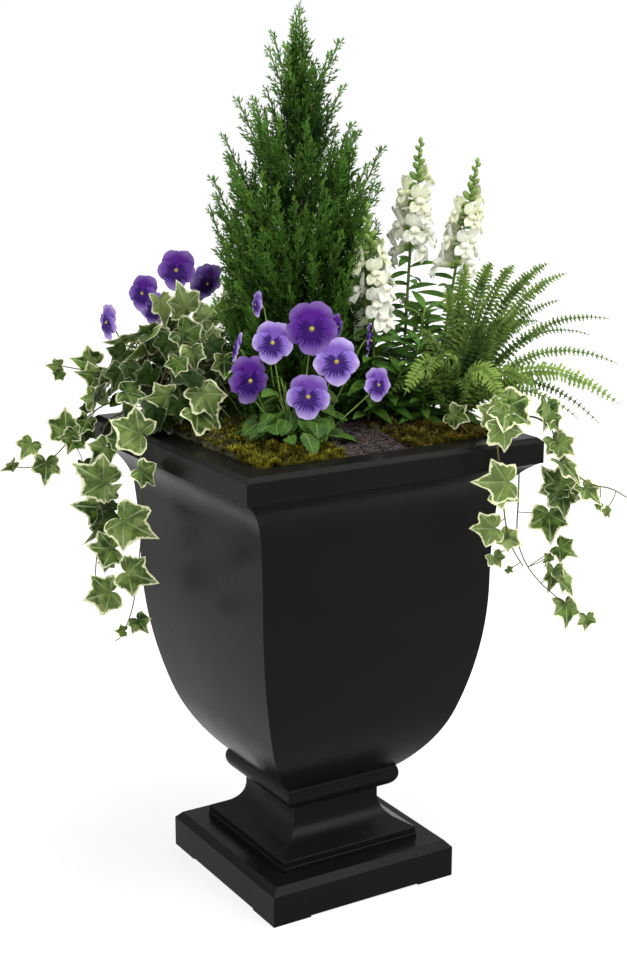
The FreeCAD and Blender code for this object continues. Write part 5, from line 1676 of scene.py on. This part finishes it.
@dataclass(frozen=True)
class TopDressing:
    """Moss and bark over the soil, domed in the middle and tucked in at the mouth's edge."""

    seed: int = 17
    tufts: int = 4200  # on each bed of moss
    blades: int = 4  # in each tuft
    chips: int = 2200
    moss_lump: float = 0.0065
    bark_lump: float = 0.003
    front_share: float = 0.6  # of tufts and chips that go to the front of the patch
    front_depth: float = 0.2  # share of the patch that is its front

    def spot(self, node: str, inset: float, crowding: float,
             luck: np.random.Generator) -> tuple[float, float]:
        """A random place on a patch, more often near its front edge, where it is seen.

        Args:
            node: the patch.
            inset: how far from the front and back edges it stays.
            crowding: power over 1 that draws places to the front edge.
            luck: the random draws.

        Returns:
            Its x and y.
        """
        low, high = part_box(node)
        x, y = luck.uniform(low[0], high[0]), luck.uniform(low[1] + inset, high[1] - inset)
        if luck.uniform() < self.front_share:
            y = low[1] + inset + (high[1] - low[1]) * self.front_depth * luck.uniform() ** crowding
        return x, y

    def bed(self, node: str, lump: float, luck: np.random.Generator) -> tuple[Shape, Warp, Warp]:
        """A lumpy skin over a CAD patch.

        Args:
            node: the patch.
            lump: height of its lumps.
            luck: the random draws.

        Returns:
            The skin, and what gives its height and its unevenness at a place.
        """
        low, high = (np.array(corner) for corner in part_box(node))
        waves = [
            (luck.uniform(-330, 330, 2), luck.uniform(0, 6.28), luck.uniform(0.3, 1)) for _ in range(14)
        ]
        reach, edge = high[1], low[2] + 0.012
        crown = high[2] - edge

        def bumps(x: Array, y: Array) -> Array:
            """The unevenness at a place, about 0."""
            return sum(size * np.sin(turn[0] * x + turn[1] * y + phase) for turn, phase, size in waves) / 3

        def height(x: Array, y: Array) -> Array:
            """The skin's height at a place."""
            return edge + crown * (1 - (y / reach) ** 2) - 0.003 + lump * bumps(x, y)

        def warp(u: Array, v: Array) -> Array:
            """The skin, turned down at the mouth's edge."""
            x, y = low[0] + (high[0] - low[0]) * u, low[1] + (high[1] - low[1]) * v
            away = np.maximum(np.abs(x), np.abs(y)) / reach
            skirt = np.clip((away - 0.975) / 0.025, 0, 1)  # the last of the way to the mouth's edge
            return np.column_stack([x, y, height(x, y) - skirt * 0.01])

        return Shape.grid(60, 120, warp), height, bumps

    def build(self) -> None:
        """Makes the two beds of moss and the bark between them."""
        luck = np.random.default_rng(self.seed)
        blade = scale_leaf()
        for node, finish in (("moss_left", "moss"), ("moss_right", "moss_brown")):
            bed, height, bumps = self.bed(node, self.moss_lump, luck)
            Cluster([bed]).build(node + "_bed", "moss_bed", Slot.MOSS, node)
            tufts = Cluster()
            for _ in range(self.tufts):
                x, y = self.spot(node, 0, 1.2, luck)
                z = float(height(x, y)) - 0.001
                # random tone, plus painted light on the tops of the lumps and painted shade in their hollows
                tint = luck.uniform(-0.5, 0.35) + 0.45 * float(bumps(x, y))
                for _ in range(self.blades):
                    ahead = heading(luck.uniform(0, 360), luck.uniform(20, 85))
                    tufts.add(blade, pose((x, y, z), ahead, UP, luck.uniform(0.005, 0.013)), tint)
            tufts.build(node + "_tufts", finish, Slot.MOSS)
        bed, height, _ = self.bed("bark_mulch", self.bark_lump, luck)
        Cluster([bed]).build("bark_bed", "soil", Slot.BARK, "bark_mulch")
        chip, chips = Shape.ball((0.5, 0.26, 0.15), 3, 5), Cluster()
        for _ in range(self.chips):
            x, y = self.spot("bark_mulch", 0.004, 1, luck)
            z = float(height(x, y)) + 0.002
            ahead = heading(luck.uniform(0, 360), luck.uniform(-25, 40))
            chips.add(chip, pose((x, y, z), ahead, UP, luck.uniform(0.006, 0.014)))
        chips.build("bark_chips", "bark", Slot.BARK, smooth=False)


# ---------------------------------------------------------------- the studio


@dataclass(frozen=True)
class Softbox:
    """A rectangular studio light."""

    name: str
    place: Point
    target: Point
    size: tuple[float, float]
    power: float

    def build(self) -> None:
        """Makes the light."""
        light = bpy.data.lights.new(self.name, "AREA")
        light.shape = "RECTANGLE"
        light.size, light.size_y = self.size
        light.energy = self.power
        lamp = bpy.data.objects.new(self.name, light)
        lamp.location = self.place
        aim = Vector(self.target) - Vector(self.place)
        lamp.rotation_euler = aim.to_track_quat("-Z", "Y").to_euler()
        bpy.context.scene.collection.objects.link(lamp)


LIGHTS = (
    Softbox("overhead", (0.0, -0.55, 3.3), (0.0, -0.4, 0.6), (2.4, 2.8), 80),
    Softbox("top_right", (2.7, -0.7, 3.1), (0.3, -0.2, 0.3), (1.6, 2.8), 42),
    Softbox("left_fill", (-3.3, -1.0, 2.3), (0, 0, 0.7), (1.6, 2.4), 66),
    Softbox("front_key", (1.7, -2.9, 2.7), (0, 0, 0.7), (2.2, 2.0), 95),
)


WHITE = (1.0, 1.0, 1.0)
AMBIENT = (0.38, 0.38, 0.38)  # the surround's light on the object
FLOOR = (0.85, 0.85, 0.85)  # the floor as light falls from it on the object
FLOOR_SEEN = (0.2, 0.2, 0.2)  # the floor as it is seen, where its glow adds the rest
FADE = (0.3, 1.3)  # metres from the middle between which the floor fades to white
GLOW = (0.79, 1.1)  # the floor's glow within and beyond that


def sees_white(tree: Tree) -> bpy.types.NodeSocket:
    """1 for camera rays, for glossy rays, and for rays that pass straight through glass, but not for
    light that a leaf lets through.

    Args:
        tree: where the nodes go.

    Returns:
        The share, 0 or 1.
    """
    rays = tree.node("ShaderNodeLightPath").outputs
    through = tree.minus(rays["Is Transmission Ray"], rays["Is Diffuse Ray"], clamp=True)
    direct = tree.math("MAXIMUM", rays["Is Camera Ray"], rays["Is Glossy Ray"])
    return tree.math("MAXIMUM", direct, through)


def build_camera() -> None:
    """The photograph's camera, from its calibration."""
    data = bpy.data.cameras.new("camera")
    data.lens, data.sensor_width = LENS, SENSOR
    data.clip_end = 50
    camera = bpy.data.objects.new("camera", data)
    camera.location = CAMERA
    back = Vector(heading(CAMERA_TURN, CAMERA_RISE))
    camera.rotation_euler = back.to_track_quat("Z", "Y").to_euler()
    bpy.context.scene.collection.objects.link(camera)
    bpy.context.scene.camera = camera


def build_stage() -> None:
    """A pale floor that fades to white, and a white surround."""
    net = bmesh.new()
    bmesh.ops.create_circle(net, cap_ends=True, segments=64, radius=9)
    mesh = bpy.data.meshes.new("floor")
    net.to_mesh(mesh)
    net.free()
    floor = bpy.data.objects.new("floor", mesh)
    bpy.context.scene.collection.objects.link(floor)
    made, tree, surface = blank("floor")
    mesh.materials.append(made)
    seen = sees_white(tree)
    away = tree.node("ShaderNodeVectorMath", {0: tree.place()}, operation="LENGTH").outputs["Value"]
    tree.fill(surface, {
        "Base Color": tree.mix(seen, FLOOR, FLOOR_SEEN),
        "Roughness": 0.9,
        "Specular IOR Level": 0.0,
        "Emission Color": WHITE,
        "Emission Strength": tree.times(seen, tree.span(away, *FADE, *GLOW)),
    })
    world = bpy.data.worlds.new("studio")
    world.use_nodes = True
    bpy.context.scene.world = world
    sky = Tree(world.node_tree)
    back = world.node_tree.nodes["Background"]
    sky.fill(back, {"Color": sky.mix(sees_white(sky), AMBIENT, WHITE), "Strength": 1.0})


def main() -> None:
    """Builds the whole scene."""
    logging.basicConfig(level=logging.INFO, format="%(message)s")
    bpy.context.scene.view_settings.view_transform = "Standard"
    finish_nodes()
    for plant in (TopDressing(), Conifer(), Fern(), Snapdragons(), Violas(), Ivy()):
        plant.build()
    for light in LIGHTS:
        light.build()
    build_stage()
    build_camera()


if __name__ == "__main__":
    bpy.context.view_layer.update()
    main()
